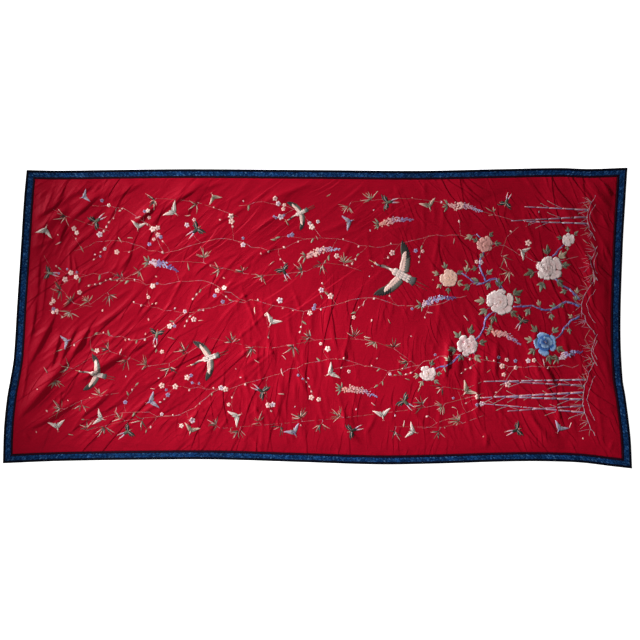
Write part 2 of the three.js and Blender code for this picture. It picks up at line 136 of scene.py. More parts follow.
# The outer edges of the panel as it lies, as x and y, each read from corner to corner.
TOP_EDGE = [
    (-1556, 792), (-1378, 789), (-736, 797), (13, 792), (548, 788), (976, 797), (1297, 803),
    (1458, 798), (1658, 805),
]
BOTTOM_EDGE = [
    (-1683, -777), (-1378, -765), (-843, -757), (-522, -757), (-94, -770), (334, -783), (655, -778),
    (976, -768), (1190, -766), (1404, -773), (1576, -793), (1683, -805),
]
LEFT_EDGE = [
    (-1683, -777), (-1677, -588), (-1661, -428), (-1642, -321), (-1625, -214), (-1608, 54),
    (-1587, 375), (-1570, 642), (-1556, 792),
]
RIGHT_EDGE = [
    (1683, -805), (1675, -642), (1649, -428), (1632, -321), (1621, -53), (1633, 375), (1648, 642),
    (1658, 805),
]

# Folds: x and y of both ends, bow of the middle to the left, crest height, and the widths of the left and
# right flanks, seen from the first end. The narrow flank is the steep one.
FOLDS = [
    # Lower left corner, where the folds are deepest.
    (-1555, -275, -1390, 40, 0, 16, 38, 20),
    (-1425, -280, -1370, -65, 0, 14, 50, 16),
    (-1380, -255, -1275, -35, 8, 13, 28, 18),
    (-1610, -550, -1320, -210, -5, 24, 55, 26),
    (-1325, -225, -1210, -40, 0, 15, 35, 18),
    (-1570, -605, -1270, -435, -6, 18, 45, 24),
    (-1290, -345, -1005, -180, 0, 14, 45, 20),
    (-1015, -190, -860, -95, 0, 7, 30, 14),
    (-1275, -535, -1075, -380, 0, 8, 35, 16),
    (-1230, -145, -1185, -55, 0, 6, 22, 14),
    (-1185, -55, -1065, 30, 0, 6, 25, 12),
    (-1060, -105, -855, -10, 0, 5, 25, 12),
    (-1380, -505, -1370, -385, 0, 5, 18, 12),
    (-1535, -660, -1570, -610, 0, 8, 20, 14),
    (-1380, -610, -895, -680, -8, 3, 30, 14),
    # Left margin.
    (-1600, -505, -1550, -145, -14, 9, 32, 16),
    (-1555, -180, -1500, 120, -8, 8, 28, 13),
    (-1495, 95, -1480, 335, 4, 7, 25, 13),
    (-1475, 0, -1445, 270, 0, 5, 20, 13),
    (-1535, 365, -1400, 425, 0, 8, 30, 14),
    (-1320, 220, -1325, 360, 0, 6, 14, 12),
    (-1280, 215, -1305, 335, 0, 5, 12, 12),
    # Upper left corner.
    (-1525, 530, -1345, 655, -12, 14, 50, 17),
    (-1345, 640, -1165, 715, 0, 7, 35, 14),
    (-1505, 460, -1325, 600, 0, 14, 24, 60),
    (-1325, 600, -1095, 685, 4, 8, 22, 50),
    (-1385, 385, -1335, 515, 6, 12, 35, 18),
    (-1335, 510, -1165, 655, 0, 11, 35, 15),
    (-1100, 630, -905, 740, 0, 7, 30, 13),
    (-1005, 480, -835, 625, 0, 11, 40, 15),
    (-805, 580, -615, 715, 4, 10, 40, 15),
    (-1335, 355, -1240, 440, 0, 6, 20, 12),
    (-1290, 455, -1130, 600, 0, 5, 18, 12),
    (-1270, 405, -1175, 500, 0, 4, 16, 12),
    (-1460, 560, -1410, 685, 0, 6, 18, 13),
    (-1505, 630, -1420, 700, 0, 5, 20, 13),
    (-1400, 615, -1345, 715, 0, 5, 18, 13),
    (-1060, 255, -985, 350, 0, 5, 20, 12),
    (-1075, 205, -990, 260, 0, 6, 20, 13),
    (-1105, 90, -1000, 150, 0, 5, 20, 12),
    # Upper middle.
    (-585, 475, -350, 615, 0, 7, 22, 18),
    (-360, 605, -255, 690, 0, 5, 16, 15),
    (-360, 590, 10, 735, 3, 7, 22, 24),
    (-360, 455, -130, 590, 4, 7, 25, 22),
    (-515, 310, -405, 355, 3, 5, 18, 16),
    (-345, 315, -205, 390, 3, 6, 18, 15),
    (-620, 690, -420, 745, 3, 5, 18, 14),
    (-705, 690, -560, 745, 2, 5, 18, 14),
    (25, 455, 270, 545, 3, 5, 26, 24),
    (90, 280, 185, 430, -14, 4, 20, 16),
    (630, 580, 1055, 715, 0, 4, 50, 50),
    # Upper right corner.
    (1590, 630, 1520, 745, 4, 9, 20, 15),
    (1490, 560, 1380, 740, -12, 8, 20, 15),
    (1560, 465, 1520, 575, 0, 5, 16, 13),
    (1510, 170, 1415, 385, 0, 8, 20, 14),
    (1480, 30, 1445, 330, 3, 6, 15, 15),
    # Lower middle.
    (-395, -260, -275, -190, 3, 7, 22, 18),
    (-280, -585, -360, -430, 0, 6, 20, 14),
    (-360, -430, -405, -265, 0, 6, 18, 14),
    (-235, -485, -365, -300, 0, 4, 16, 14),
    (-410, -660, -495, -560, 0, 5, 16, 14),
    (-595, -510, -660, -445, 0, 4, 14, 12),
    (-555, -620, -630, -530, 0, 4, 14, 12),
    (-845, -565, -485, -505, 2, 4, 14, 12),
    (25, -330, 15, -200, 0, 4, 16, 14),
    (90, -355, 55, -200, 0, 5, 16, 14),
    (130, -275, 160, -85, -6, 6, 18, 16),
    (220, -600, 105, -485, 0, 6, 18, 15),
    (235, -680, 120, -540, 0, 8, 25, 18),
    (250, -630, 315, -495, -8, 5, 15, 15),
    # Lower right.
    (680, -340, 715, -105, 0, 12, 32, 15),
    (750, -340, 770, -170, 0, 6, 40, 22),
    (860, -545, 855, -235, 3, 9, 28, 14),
    (905, -700, 910, -600, 0, 6, 18, 13),
    (955, -330, 965, -115, 3, 8, 25, 14),
    (890, -320, 885, -180, 0, 5, 14, 12),
    (1130, -340, 1085, -225, 0, 6, 16, 14),
    (1160, -185, 1190, -30, 12, 8, 18, 15),
    (1195, -355, 1165, -215, 0, 6, 16, 13),
    (1290, -390, 1190, -210, 0, 11, 35, 17),
    (1380, -240, 1320, -95, 14, 8, 22, 14),
    (1255, -670, 1080, -455, 0, 7, 22, 14),
    (1310, -610, 1275, -450, 0, 7, 18, 14),
    (1045, -560, 870, -390, 0, 4, 18, 14),
    (1600, -450, 1535, -205, -8, 8, 25, 17),
]

# Broad swells that carry the folds: x, y, half length, half width, turn in degrees, and height.
SWELLS = [
    (-1420, -330, 430, 150, 52, 9),
    (-1150, -240, 400, 120, 32, 7),
    (-1180, -450, 330, 90, 36, 4),
    (-1550, 60, 430, 60, 84, 5),
    (-1420, 560, 270, 130, 36, 7),
    (-1210, 610, 320, 90, 36, 5),
    (-920, 560, 260, 95, 40, 5),
    (-700, 650, 240, 80, 35, 5),
    (-190, 650, 360, 75, 24, 4),
    (-250, 500, 320, 75, 28, 3),
    (-340, -400, 260, 95, 112, 4),
    (90, -300, 260, 100, 88, 4),
    (170, -590, 170, 85, 130, 4),
    (715, -230, 220, 90, 86, 5),
    (900, -340, 280, 100, 91, 4),
    (1210, -290, 260, 115, 112, 5),
    (1190, -570, 220, 85, 126, 3),
    (1490, 230, 330, 75, 104, 7),
    (1500, 660, 150, 70, 120, 8),
    (1330, 560, 210, 80, 126, 6),
]

# Small dry wrinkles that stand between the folds, as the rows above, with even flanks as the last number.
WRINKLES = [
    (-1506, 439, -1420, 492, 0, 3.5, 14),
    (-602, 562, -495, 626, 0, 3, 13),
    (-560, 520, -455, 585, 0, 3, 13),
    (-470, 600, -360, 660, 0, 2.5, 12),
    (-1378, -668, -1297, -684, 0, 3, 14),
    (-420, -208, -372, -171, 0, 3, 12),
    (-532, -503, -575, -449, 0, 3, 12),
    (-292, -706, -366, -631, 0, 4, 14),
    (-115, -449, -120, -326, 4, 3.5, 13),
    (-94, -182, -88, -107, 0, 3, 12),
    (104, -171, 72, -26, 5, 3.5, 13),
    (318, -503, 286, -438, 0, 3, 12),
    (602, -615, 463, -460, -6, 3, 14),
    (1340, -642, 1308, -604, 0, 3, 12),
    (1287, -647, 1249, -583, 0, 3, 12),
    (1560, -717, 1581, -652, 0, 3.5, 12),
]
# Zones of finer wrinkles: x and y of two opposite corners, how many, their usual direction in degrees, the
# shortest and longest of them, and how high they stand beside the usual.
WRINKLE_ZONES = [
    (-1580, -700, -1000, -50, 60, 42, 120, 420, 1.1),
    (-1580, 0, -1150, 700, 44, 54, 100, 340, 0.8),
    (-1300, 150, -450, 740, 48, 37, 140, 460, 0.7),
    (-500, 200, 400, 740, 40, 30, 120, 380, 0.6),
    (-1000, -700, -400, 150, 50, 46, 110, 360, 1.15),
    (-400, -720, 250, 0, 76, 100, 70, 260, 1.15),
    (250, -720, 750, 650, 44, 88, 60, 280, 1.0),
    (700, -720, 1580, 100, 64, 112, 90, 380, 1.0),
    (1150, 100, 1590, 740, 46, 118, 60, 260, 1.5),
]
WRINKLE_HEIGHT = (1.0, 3.2)
WRINKLE_FLANK = (8, 13)
WRINKLE_SPREAD = 8
WRINKLE_BOW = 1 / 20

# The cloth between the folds isn't quite flat either: it drifts up and down in long slow waves.
DRIFT_WAVES = 14
DRIFT_LENGTH = (130 * MM, 420 * MM)
DRIFT_HEIGHT = 0.35 * MM

SILK_COLUMNS = 459
SILK_ROWS = 186
UNDERSIDE_STEP = 3
LEFT_CROWDING = 0.16

chance = np.random.default_rng(19)


def edge_line(rows, along, across):
    """A smooth line through a table of edge points, which gives one coordinate at a place along the other."""
    table = np.array(rows, float) * MM
    knots, values = table[:, along], table[:, across]
    steps = np.arange(len(knots))
    before = np.maximum(steps - 1, 0)
    after = np.minimum(steps + 1, len(knots) - 1)
    slopes = (values[after] - values[before]) / (knots[after] - knots[before])

    def at(place):
        """The other coordinate there. A little way past its ends the line still goes on."""
        i = np.clip(np.searchsorted(knots, place) - 1, 0, len(knots) - 2)
        span = knots[i + 1] - knots[i]
        t = np.clip((place - knots[i]) / span, -EDGE_OVERRUN, 1 + EDGE_OVERRUN)
        start = (1 + 2 * t) * (1 - t) ** 2 * values[i] + t * (1 - t) ** 2 * slopes[i] * span
        end = t * t * (3 - 2 * t) * values[i + 1] - t * t * (1 - t) * slopes[i + 1] * span
        return start + end

    return at


top_at = edge_line(TOP_EDGE, 0, 1)
bottom_at = edge_line(BOTTOM_EDGE, 0, 1)
left_at = edge_line(LEFT_EDGE, 1, 0)
right_at = edge_line(RIGHT_EDGE, 1, 0)


def place_in_frame(across, up, inset):
    """The point at a share of the panel's width and height, inside a line that is inset from its edges."""
    long_inset, short_inset = inset
    x, y = np.zeros_like(across), np.zeros_like(up)
    for _ in range(CORNER_ROUNDS):
        left, right = left_at(y) + short_inset, right_at(y) - short_inset
        bottom, top = bottom_at(x) + long_inset, top_at(x) - long_inset
        x, y = left + across * (right - left), bottom + up * (top - bottom)
    return x, y


def bell(part):
    """A smooth hill: 1 in its middle, and 0 from a part of 1 outwards."""
    return (1 + np.cos(np.pi * np.minimum(part, 1))) / 2


def fade_in(value, width):
    """A smooth step from 0 to 1 over a width."""
    part = np.clip(value / width, 0, 1)
    return part * part * (3 - 2 * part)


def fold_height(x, y, x1, y1, x2, y2, bow, height, left, right):
    """How high one fold lifts the cloth at each place. Its sizes are in millimetres."""
    start = np.array((x1, y1)) * MM
    run = np.array((x2, y2)) * MM - start
    length = math.hypot(*run)
    part = ((x - start[0]) * run[0] + (y - start[1]) * run[1]) / length**2
    rise = np.sin(np.pi * np.clip(part, 0, 1))
    sideways = ((y - start[1]) * run[0] - (x - start[0]) * run[1]) / length - 4 * bow * MM * part * (1 - part)
    narrowing = 1 - FOLD_END_NARROWING * (1 - rise)
    reach = np.abs(sideways) / (np.where(sideways > 0, left, right) * MM * narrowing)
    ridge = (1 - FOLD_FOOT_SHARE) * bell(reach) + FOLD_FOOT_SHARE * bell(reach / FOLD_FOOT_WIDENING)
    return height * MM * rise * ridge


def swell_height(x, y, centre_x, centre_y, reach, width, turn, height):
    """How high one broad swell lifts the cloth at each place. Its sizes are in millimetres."""
    cos, sin = math.cos(math.radians(turn)), math.sin(math.radians(turn))
    dx, dy = x - centre_x * MM, y - centre_y * MM
    along, across = (dx * cos + dy * sin) / (reach * MM), (dy * cos - dx * sin) / (width * MM)
    return height * MM * bell(np.hypot(along, across))


def settled_folds():
    """The folds as thin silk lies in them: a little lower, with softer left and tighter right flanks."""
    rows = []
    for *line, bow, height, left, right in FOLDS:
        flanks = [max(flank * share, TIGHTEST_FLANK) for flank, share in zip((left, right), FLANK_SHARES)]
        rows.append((*line, bow, height * FOLD_SETTLING, *flanks))
    return rows


def fine_wrinkles():
    """The wrinkles of every zone, as rows of the folds' table."""
    rows = [(*row, row[-1]) for row in WRINKLES]
    for x1, y1, x2, y2, count, turn, shortest, longest, share in WRINKLE_ZONES:
        for _ in range(count):
            x, y = chance.uniform(x1, x2), chance.uniform(y1, y2)
            angle = math.radians(turn + chance.normal(0, WRINKLE_SPREAD))
            length = chance.uniform(shortest, longest)
            end = (x + length * math.cos(angle), y + length * math.sin(angle))
            height = chance.uniform(*WRINKLE_HEIGHT) * share
            flanks = chance.uniform(*WRINKLE_FLANK, 2)
            rows.append((x, y, *end, chance.normal(0, length * WRINKLE_BOW), height, *flanks))
    return rows


def drift_height(x, y):
    """Long slow waves, never below zero."""
    total = np.zeros_like(x)
    for _ in range(DRIFT_WAVES):
        turn, start = chance.uniform(0, 2 * math.pi, 2)
        pace = 2 * math.pi / chance.uniform(*DRIFT_LENGTH)
        total += DRIFT_HEIGHT * (1 + np.sin(pace * (x * math.cos(turn) + y * math.sin(turn)) + start)) / 2
    return total


def cloth_height(x, y):
    """The height of the silk's underside. All that lifts it fades out at its sewn edge."""
    long_inset, short_inset = SILK_INSET
    depths = (
        top_at(x) - long_inset - y,
        y - bottom_at(x) - long_inset,
        x - left_at(y) - short_inset,
        right_at(y) - short_inset - x,
    )
    lift = drift_height(x, y)
    lift += sum(fold_height(x, y, *row) for row in settled_folds() + fine_wrinkles())
    lift += sum(swell_height(x, y, *row) for row in SWELLS)
    return lift * fade_in(np.minimum.reduce(depths), EDGE_FADE)


# The silk is a net of columns and rows that follows its own edges. The columns crowd towards the left, where
# the folds are closest. The underside has a point for every third of the top, at the lowest near it.
column_share = np.linspace(0, 1, SILK_COLUMNS + 1)
column_share = column_share - LEFT_CROWDING * np.sin(np.pi * column_share) * (1 - column_share / 2)
row_share = np.linspace(0, 1, SILK_ROWS + 1)
across, up = np.meshgrid(column_share, row_share)
silk_x, silk_y = place_in_frame(across, up, SILK_INSET)
silk_lift = cloth_height(silk_x, silk_y)
silk_top = silk_lift + SILK_THICKNESS


def net_faces(rows, columns, first=0):
    """The quads of a net of points that is numbered row by row."""
    corner = first + np.arange(rows)[:, None] * (columns + 1) + np.arange(columns)[None, :]
    return np.stack([corner, corner + 1, corner + columns + 2, corner + columns + 1], axis=-1).reshape(-1, 4)


def rim_walk(rows, columns, first=0):
    """The points around a net, anticlockwise from its first."""
    number = first + np.arange((rows + 1) * (columns + 1)).reshape(rows + 1, columns + 1)
    return np.concatenate([number[0, :-1], number[:-1, -1], number[-1, :0:-1], number[:0:-1, 0]])


def lowest_around(height, step):
    """At every step-th point of a net, the lowest height of the points less than a step away."""
    padded = np.pad(height, step - 1, mode="edge")
    spread = range(2 * step - 1)
    windows = [padded[i : i + height.shape[0], j : j + height.shape[1]] for i in spread for j in spread]
    return np.minimum.reduce(windows)[::step, ::step]


under_rows, under_columns = SILK_ROWS // UNDERSIDE_STEP, SILK_COLUMNS // UNDERSIDE_STEP
under_x, under_y = silk_x[::UNDERSIDE_STEP, ::UNDERSIDE_STEP], silk_y[::UNDERSIDE_STEP, ::UNDERSIDE_STEP]
under_lift = lowest_around(silk_lift, UNDERSIDE_STEP)
first_under = silk_x.size
silk_points = np.concatenate(
    [
        np.stack([silk_x, silk_y, silk_top], axis=-1).reshape(-1, 3),
        np.stack([under_x, under_y, under_lift], axis=-1).reshape(-1, 3),
    ]
)
silk_faces = net_faces(SILK_ROWS, SILK_COLUMNS).tolist()
silk_faces += net_faces(under_rows, under_columns, first_under)[:, ::-1].tolist()
top_rim = rim_walk(SILK_ROWS, SILK_COLUMNS)
under_rim = rim_walk(under_rows, under_columns, first_under)
for i in range(len(under_rim)):
    below, next_below = under_rim[i], under_rim[(i + 1) % len(under_rim)]
    above = [top_rim[(i * UNDERSIDE_STEP + k) % len(top_rim)] for k in range(UNDERSIDE_STEP + 1)]
    silk_faces.append([below, next_below, *above[::-1]])


def new_piece(name, points, faces, material):
    """A smooth mesh piece that rides on the panel, in the material it is given."""
    mesh = bpy.data.meshes.new(name)
    mesh.from_pydata(np.asarray(points).tolist(), [], faces)
    mesh.materials.append(material)
    mesh.shade_smooth()
    piece = bpy.data.objects.new(name, mesh)
    bpy.context.collection.objects.link(piece)
    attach(piece, "root")
    return piece


def effect_group(name, inputs, outputs):
    """An empty shader node group with named sockets, and its two end nodes."""
    group = bpy.data.node_groups.new(name, "ShaderNodeTree")
    for socket, kind, value in inputs:
        entry = group.interface.new_socket(socket, in_out="INPUT", socket_type=f"NodeSocket{kind}")
        if value is not None:
            entry.default_value = value
    for socket, kind in outputs:
        group.interface.new_socket(socket, in_out="OUTPUT", socket_type=f"NodeSocket{kind}")
    return group, group.nodes.new("NodeGroupInput"), group.nodes.new("NodeGroupOutput")


def axes_of(tree, place):
    """The X and Y of a place, as a node's outputs."""
    axes = tree.nodes.new("ShaderNodeSeparateXYZ")
    tree.links.new(place, axes.inputs[0])
    return axes.outputs["X"], axes.outputs["Y"]


def fill_sockets(tree, sockets, values):
    """Gives each socket its value, which is a number, a colour, another node's output or None."""
    for socket, value in zip(sockets, values):
        if isinstance(value, bpy.types.NodeSocket):
            tree.links.new(value, socket)
        elif value is not None:
            socket.default_value = value


def math_node(tree, operation, first, second=None, third=None, clamp=False):
    """A Math node's output. Each input is a number or another node's output."""
    node = tree.nodes.new("ShaderNodeMath")
    node.operation = operation
    node.use_clamp = clamp
    fill_sockets(tree, node.inputs, (first, second, third))
    return node.outputs[0]


def mix_colour(tree, share, first, second, blend="MIX"):
    """A Mix node's colour output. Each input is a value or another node's output."""
    node = tree.nodes.new("ShaderNodeMix")
    node.data_type = "RGBA"
    node.blend_type = blend
    fill_sockets(tree, [node.inputs[i] for i in (0, 6, 7)], (share, first, second))
    return node.outputs[2]


def noise_value(tree, vector, scale, detail=2.0, roughness=0.5, stretch=1.0, turn=0.0):
    """A noise texture's value. Its marks are stretched along X, and that axis is turned, in degrees."""
    mapping = tree.nodes.new("ShaderNodeMapping")
    mapping.vector_type = "TEXTURE"
    set_inputs(mapping, Rotation=(0, 0, math.radians(turn)), Scale=(stretch, 1, 1))
    tree.links.new(vector, mapping.inputs["Vector"])
    noise = tree.nodes.new("ShaderNodeTexNoise")
    set_inputs(noise, Scale=scale, Detail=detail, Roughness=roughness)
    tree.links.new(mapping.outputs["Vector"], noise.inputs["Vector"])
    return noise.outputs["Fac"]


def thread_crowns(tree, count):
    """Round threads side by side: 0 between two of them, and 1 along the middle of each."""
    return math_node(tree, "ABSOLUTE", math_node(tree, "SINE", math_node(tree, "MULTIPLY", count, math.pi)))


# Woven cloth: fine warp and weft threads that pass over each other, with slubs, seen as a height and a tone.
# Each weft row is shifted by a part of a thread, which gives a faint twill.
TWILL_SHIFT = 0.38
SLUB_TONE = 2
weave, weave_in, weave_out = effect_group(
    "woven_threads",
    [("Vector", "Vector", None), ("Threads per metre", "Float", 1400.0), ("Slub", "Float", 0.3)],
    [("Height", "Float"), ("Tone", "Float")],
)
warp_count, weft_count = (
    math_node(weave, "MULTIPLY", axis, weave_in.outputs["Threads per metre"])
    for axis in axes_of(weave, weave_in.outputs["Vector"])
)
twill_count = math_node(weave, "MULTIPLY_ADD", math_node(weave, "FLOOR", weft_count), TWILL_SHIFT, warp_count)
warp_crowns, weft_crowns = thread_crowns(weave, twill_count), thread_crowns(weave, weft_count)
thread_round = math_node(weave, "MULTIPLY", warp_crowns, weft_crowns)
slub_noise = noise_value(weave, weave_in.outputs["Vector"], 450, 3.0, 0.6, 40)
slub = math_node(weave, "MULTIPLY", math_node(weave, "SUBTRACT", slub_noise, 0.5), weave_in.outputs["Slub"])
weave.links.new(math_node(weave, "ADD", thread_round, slub), weave_out.inputs["Height"])
weave.links.new(math_node(weave, "MULTIPLY_ADD", slub, SLUB_TONE, 1), weave_out.inputs["Tone"])

# Creased cloth: the faint dry crinkle that silk keeps after it has lain folded, as a height. Its ridges run
# along the folds, and weaker ones cross them.
CROSS_CRINKLE = 0.35
crinkle, crinkle_in, crinkle_out = effect_group(
    "dry_crinkle", [("Vector", "Vector", None)], [("Height", "Float")]
)
crinkle_place = crinkle_in.outputs["Vector"]
long_crinkle = noise_value(crinkle, crinkle_place, 9, 4.0, 0.6, stretch=2.6, turn=48)
cross_crinkle = noise_value(crinkle, crinkle_place, 12, 4.0, 0.6, stretch=2.0, turn=-68)
ridged = math_node(crinkle, "ABSOLUTE", math_node(crinkle, "SUBTRACT", long_crinkle, 0.5))
ridged = math_node(crinkle, "SUBTRACT", 0.5, ridged)
both = math_node(crinkle, "MULTIPLY_ADD", cross_crinkle, CROSS_CRINKLE, ridged)
crinkle.links.new(both, crinkle_out.inputs["Height"])

# Old creases: long dry lines side by side, as a height. The cloth rises slowly to each and drops behind it,
# to the right of the line's direction. A zone is a soft oval, with its middle and reach in metres and its
# strength. Each of its layers has that direction in degrees, its lines a metre, their stray, how long they
# are beside their distance, and their weight.
CREASE_DROP = 9 * MM
CREASE_DEPTH = 4.2 * MM
BEND_SCALE = 0.22
PRESENCE_SCALE = 0.45
PRESENCE_CONTRAST = 6.5
ZONE_CONTRAST = 1.8
CREASE_ZONES = {
    "Left": {
        "middle": (-1.5, 0.0),
        "reach": (1.25, 2.2),
        "strength": 1.1,
        "layers": [
            (34, 6.5, 2.2, 2.4, 1),
            (47, 10.5, 2.8, 2.4, 1),
            (63, 14, 3.6, 2, 1),
            (41, 30, 5, 2.8, 0.4),
        ],
    },
    "Upper": {
        "middle": (-0.2, 0.6),
        "reach": (0.85, 0.65),
        "strength": 0.8,
        "layers": [(212, 7, 2, 2.6, 1), (222, 12, 2.6, 2.4, 1), (216, 26, 4.5, 2.6, 0.5)],
    },
    "Lower": {
        "middle": (0.0, -0.45),
        "reach": (0.85, 0.75),
        "strength": 0.85,
        "layers": [(74, 7, 2.6, 1.8, 1), (93, 11, 3.2, 1.7, 1), (82, 25, 5, 2, 0.5)],
    },
    "Right": {
        "middle": (1.35, 0.35),
        "reach": (1.1, 1.35),
        "strength": 1.0,
        "layers": [
            (104, 6, 2.8, 1.6, 0.85),
            (123, 8.5, 3.2, 1.6, 0.85),
            (140, 12, 3.6, 1.5, 0.85),
            (116, 27, 5, 2, 0.6),
        ],
    },
}
crease, crease_in, crease_out = effect_group(
    "long_creases",
    [("Vector", "Vector", None), *((zone, "Float", 1.0) for zone in CREASE_ZONES)],
    [("Height", "Float")],
)
crease_place = crease_in.outputs["Vector"]
crease_height = 0.0
for zone, form in CREASE_ZONES.items():
    for turn, count, stray, run, weight in form["layers"]:
        across_axis = crease.nodes.new("ShaderNodeVectorMath")
        across_axis.operation = "DOT_PRODUCT"
        across_axis.inputs[1].default_value = (math.sin(math.radians(turn)), -math.cos(math.radians(turn)), 0)
        crease.links.new(crease_place, across_axis.inputs[0])
        bent = noise_value(crease, crease_place, BEND_SCALE * count, stretch=run, turn=turn)
        bent = math_node(crease, "MULTIPLY", bent, stray)
        steps = math_node(crease, "MULTIPLY_ADD", across_axis.outputs["Value"], count, bent)
        rise = math_node(crease, "FRACT", steps)
        drop = math_node(crease, "DIVIDE", math_node(crease, "SUBTRACT", 1.0, rise), CREASE_DROP * count)
        ridge = math_node(crease, "MINIMUM", rise, drop)
        present = noise_value(crease, crease_place, PRESENCE_SCALE * count, 1.0, stretch=run, turn=turn)
        present = math_node(
            crease, "MULTIPLY_ADD", present, PRESENCE_CONTRAST, -PRESENCE_CONTRAST / 2, clamp=True
        )
        for share in (present, crease_in.outputs[zone], weight):
            ridge = math_node(crease, "MULTIPLY", ridge, share)
        crease_height = math_node(crease, "ADD", ridge, crease_height)
crease.links.new(crease_height, crease_out.inputs["Height"])


def use_effect(tree, group, **values):
    """A node that holds an effect. Each input is a number or another node's output, with _ for a space."""
    node = tree.nodes.new("ShaderNodeGroup")
    node.node_tree = group
    fill_sockets(tree, [node.inputs[name.replace("_", " ")] for name in values], values.values())
    return node


def cloth_material(name):
    """An empty material, its shader and its object coordinates in metres."""
    material = bpy.data.materials.new(name)
    material.use_nodes = True
    tree = material.node_tree
    place = tree.nodes.new("ShaderNodeTexCoord").outputs["Object"]
    return material, tree, tree.nodes["Principled BSDF"], place


def relief(tree, shader, height, depth, under=None):
    """A bump of a real depth in metres on a shader's normal. Its output carries a second bump."""
    bump = tree.nodes.new("ShaderNodeBump")
    bump.inputs["Distance"].default_value = depth
    tree.links.new(height, bump.inputs["Height"])
    if under is not None:
        tree.links.new(under, bump.inputs["Normal"])
    tree.links.new(bump.outputs["Normal"], shader.inputs["Normal"])
    return bump.outputs["Normal"]


CRIMSON = (0.36, 0.0026, 0.0162, 1)
DEEP_CRIMSON = (0.25, 0.0016, 0.0105, 1)
SATIN_LUSTRE = (1.0, 0.07, 0.16, 1)
SATIN_SHEEN = (1.0, 0.12, 0.2, 1)
SATIN_THREAD_DEPTH = 0.12 * MM
CRINKLE_DEPTH = 2.4 * MM
crimson_satin, tree, shader, place = cloth_material("crimson_satin")
silk_weave = use_effect(tree, weave, Vector=place, Threads_per_metre=1500.0, Slub=0.22)
silk_crinkle = use_effect(tree, crinkle, Vector=place)
silk_axes = axes_of(tree, place)
zone_shares = {}
for zone, form in CREASE_ZONES.items():
    away = 0.0
    for axis, middle, reach in zip(silk_axes, form["middle"], form["reach"]):
        part = math_node(tree, "MULTIPLY_ADD", axis, 1 / reach, -middle / reach)
        away = math_node(tree, "MULTIPLY_ADD", part, part, away)
    share = math_node(tree, "MULTIPLY_ADD", away, -ZONE_CONTRAST, ZONE_CONTRAST, clamp=True)
    zone_shares[zone] = math_node(tree, "MULTIPLY", share, form["strength"])
old_creases = use_effect(tree, crease, Vector=place, **zone_shares)
dye_drift = noise_value(tree, place, 2.2, 3.0, 0.55)
dye = mix_colour(tree, math_node(tree, "MULTIPLY_ADD", dye_drift, 0.5, 0.0), CRIMSON, DEEP_CRIMSON)
dye = mix_colour(tree, 1.0, dye, silk_weave.outputs["Tone"], "MULTIPLY")
gloss = math_node(tree, "MULTIPLY_ADD", silk_crinkle.outputs["Height"], 0.16, 0.36)
fill_sockets(tree, (shader.inputs["Base Color"], shader.inputs["Roughness"]), (dye, gloss))
set_inputs(
    shader,
    Specular_IOR_Level=0.22,
    Specular_Tint=SATIN_LUSTRE,
    Sheen_Weight=0.05,
    Sheen_Roughness=0.3,
    Sheen_Tint=SATIN_SHEEN,
)
woven = relief(tree, shader, silk_weave.outputs["Height"], SATIN_THREAD_DEPTH)
crinkled = relief(tree, shader, silk_crinkle.outputs["Height"], CRINKLE_DEPTH, woven)
relief(tree, shader, old_creases.outputs["Height"], CREASE_DEPTH, crinkled)

silk_ground = new_piece("silk_ground_cloth", silk_points, silk_faces, crimson_satin)
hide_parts("silk_ground")

# The border is a blue silk brocade ribbon with a small woven pattern of blossoms and vines, sewn flat all
# round in four strips that meet in mitres. It is 34 mm wide on the long sides and 37 mm on the ends, and the
# dark tapes cover 4 to 6 mm of that along each of its edges.
BROCADE_OUTER = (8 * MM, 8 * MM)
BROCADE_INNER = (42 * MM, 45 * MM)
BLOSSOM_SPACING = 17 * MM
BLOSSOM_RADIUS = 5.2 * MM
LEAF_SPACING = 8.5 * MM
LEAF_RADIUS = 2.4 * MM
LEAF_SHARE_LEFT_OUT = 0.4
LOBE_DEPTH = 0.24
VINE_SCALE = 46
VINE_THINNESS = 30
GROWTH_TONE = 0.8
BROCADE_HEIGHT = 1.3 * MM
BROCADE_CROWN = 0.35 * MM
BROCADE_RIPPLE = 0.3 * MM
BROCADE_CROSS_STEPS = 6
BAND_STEP = 6 * MM
NAVY_GROUND = (0.0022, 0.0160, 0.066, 1)
BLUE_FIGURE = (0.0115, 0.0640, 0.212, 1)
PALE_FIGURE = (0.0700, 0.1750, 0.360, 1)
NAVY_OUTLINE = (0.0010, 0.0050, 0.026, 1)
BROCADE_SELVEDGE = (0.0060, 0.0260, 0.080, 1)
BROCADE_LUSTRE = (0.2, 0.5, 1.0, 1)
SELVEDGE_PLACE = 2.4 * MM
SELVEDGE_WIDTH = 1.2 * MM

SIDE_WALKS = {
    "bottom": lambda share: (share, np.zeros_like(share)),
    "right": lambda share: (np.ones_like(share), share),
    "top": lambda share: (1 - share, np.ones_like(share)),
    "left": lambda share: (np.zeros_like(share), 1 - share),
}


def band_rings(side, outer, inner, shares_across, step):
    """Lines of points along one side of the panel, at shares of the way from outer to inner inset."""
    length = 2 * abs(left_at(0.0)) if side in ("bottom", "top") else 2 * top_at(0.0)
    shares_along = np.linspace(0, 1, int(length / step) + 1)
    lines = []
    for share in shares_across:
        inset = tuple(a + share * (b - a) for a, b in zip(outer, inner))
        lines.append(place_in_frame(*SIDE_WALKS[side](shares_along), inset))
    x, y = (np.stack(axis, axis=1) for axis in zip(*lines))
    return x, y


def ring_tube(points):
    """The faces of a closed tube through rings of points, as rows of one array, capped at both ends."""
    rings, sides = points.shape[:2]
    number = np.arange(rings * sides).reshape(rings, sides)
    along = np.roll(number, -1, axis=1)
    faces = np.stack([number[:-1], number[1:], along[1:], along[:-1]], axis=-1).reshape(-1, 4).tolist()
    return faces + [number[0].tolist(), number[-1, ::-1].tolist()]


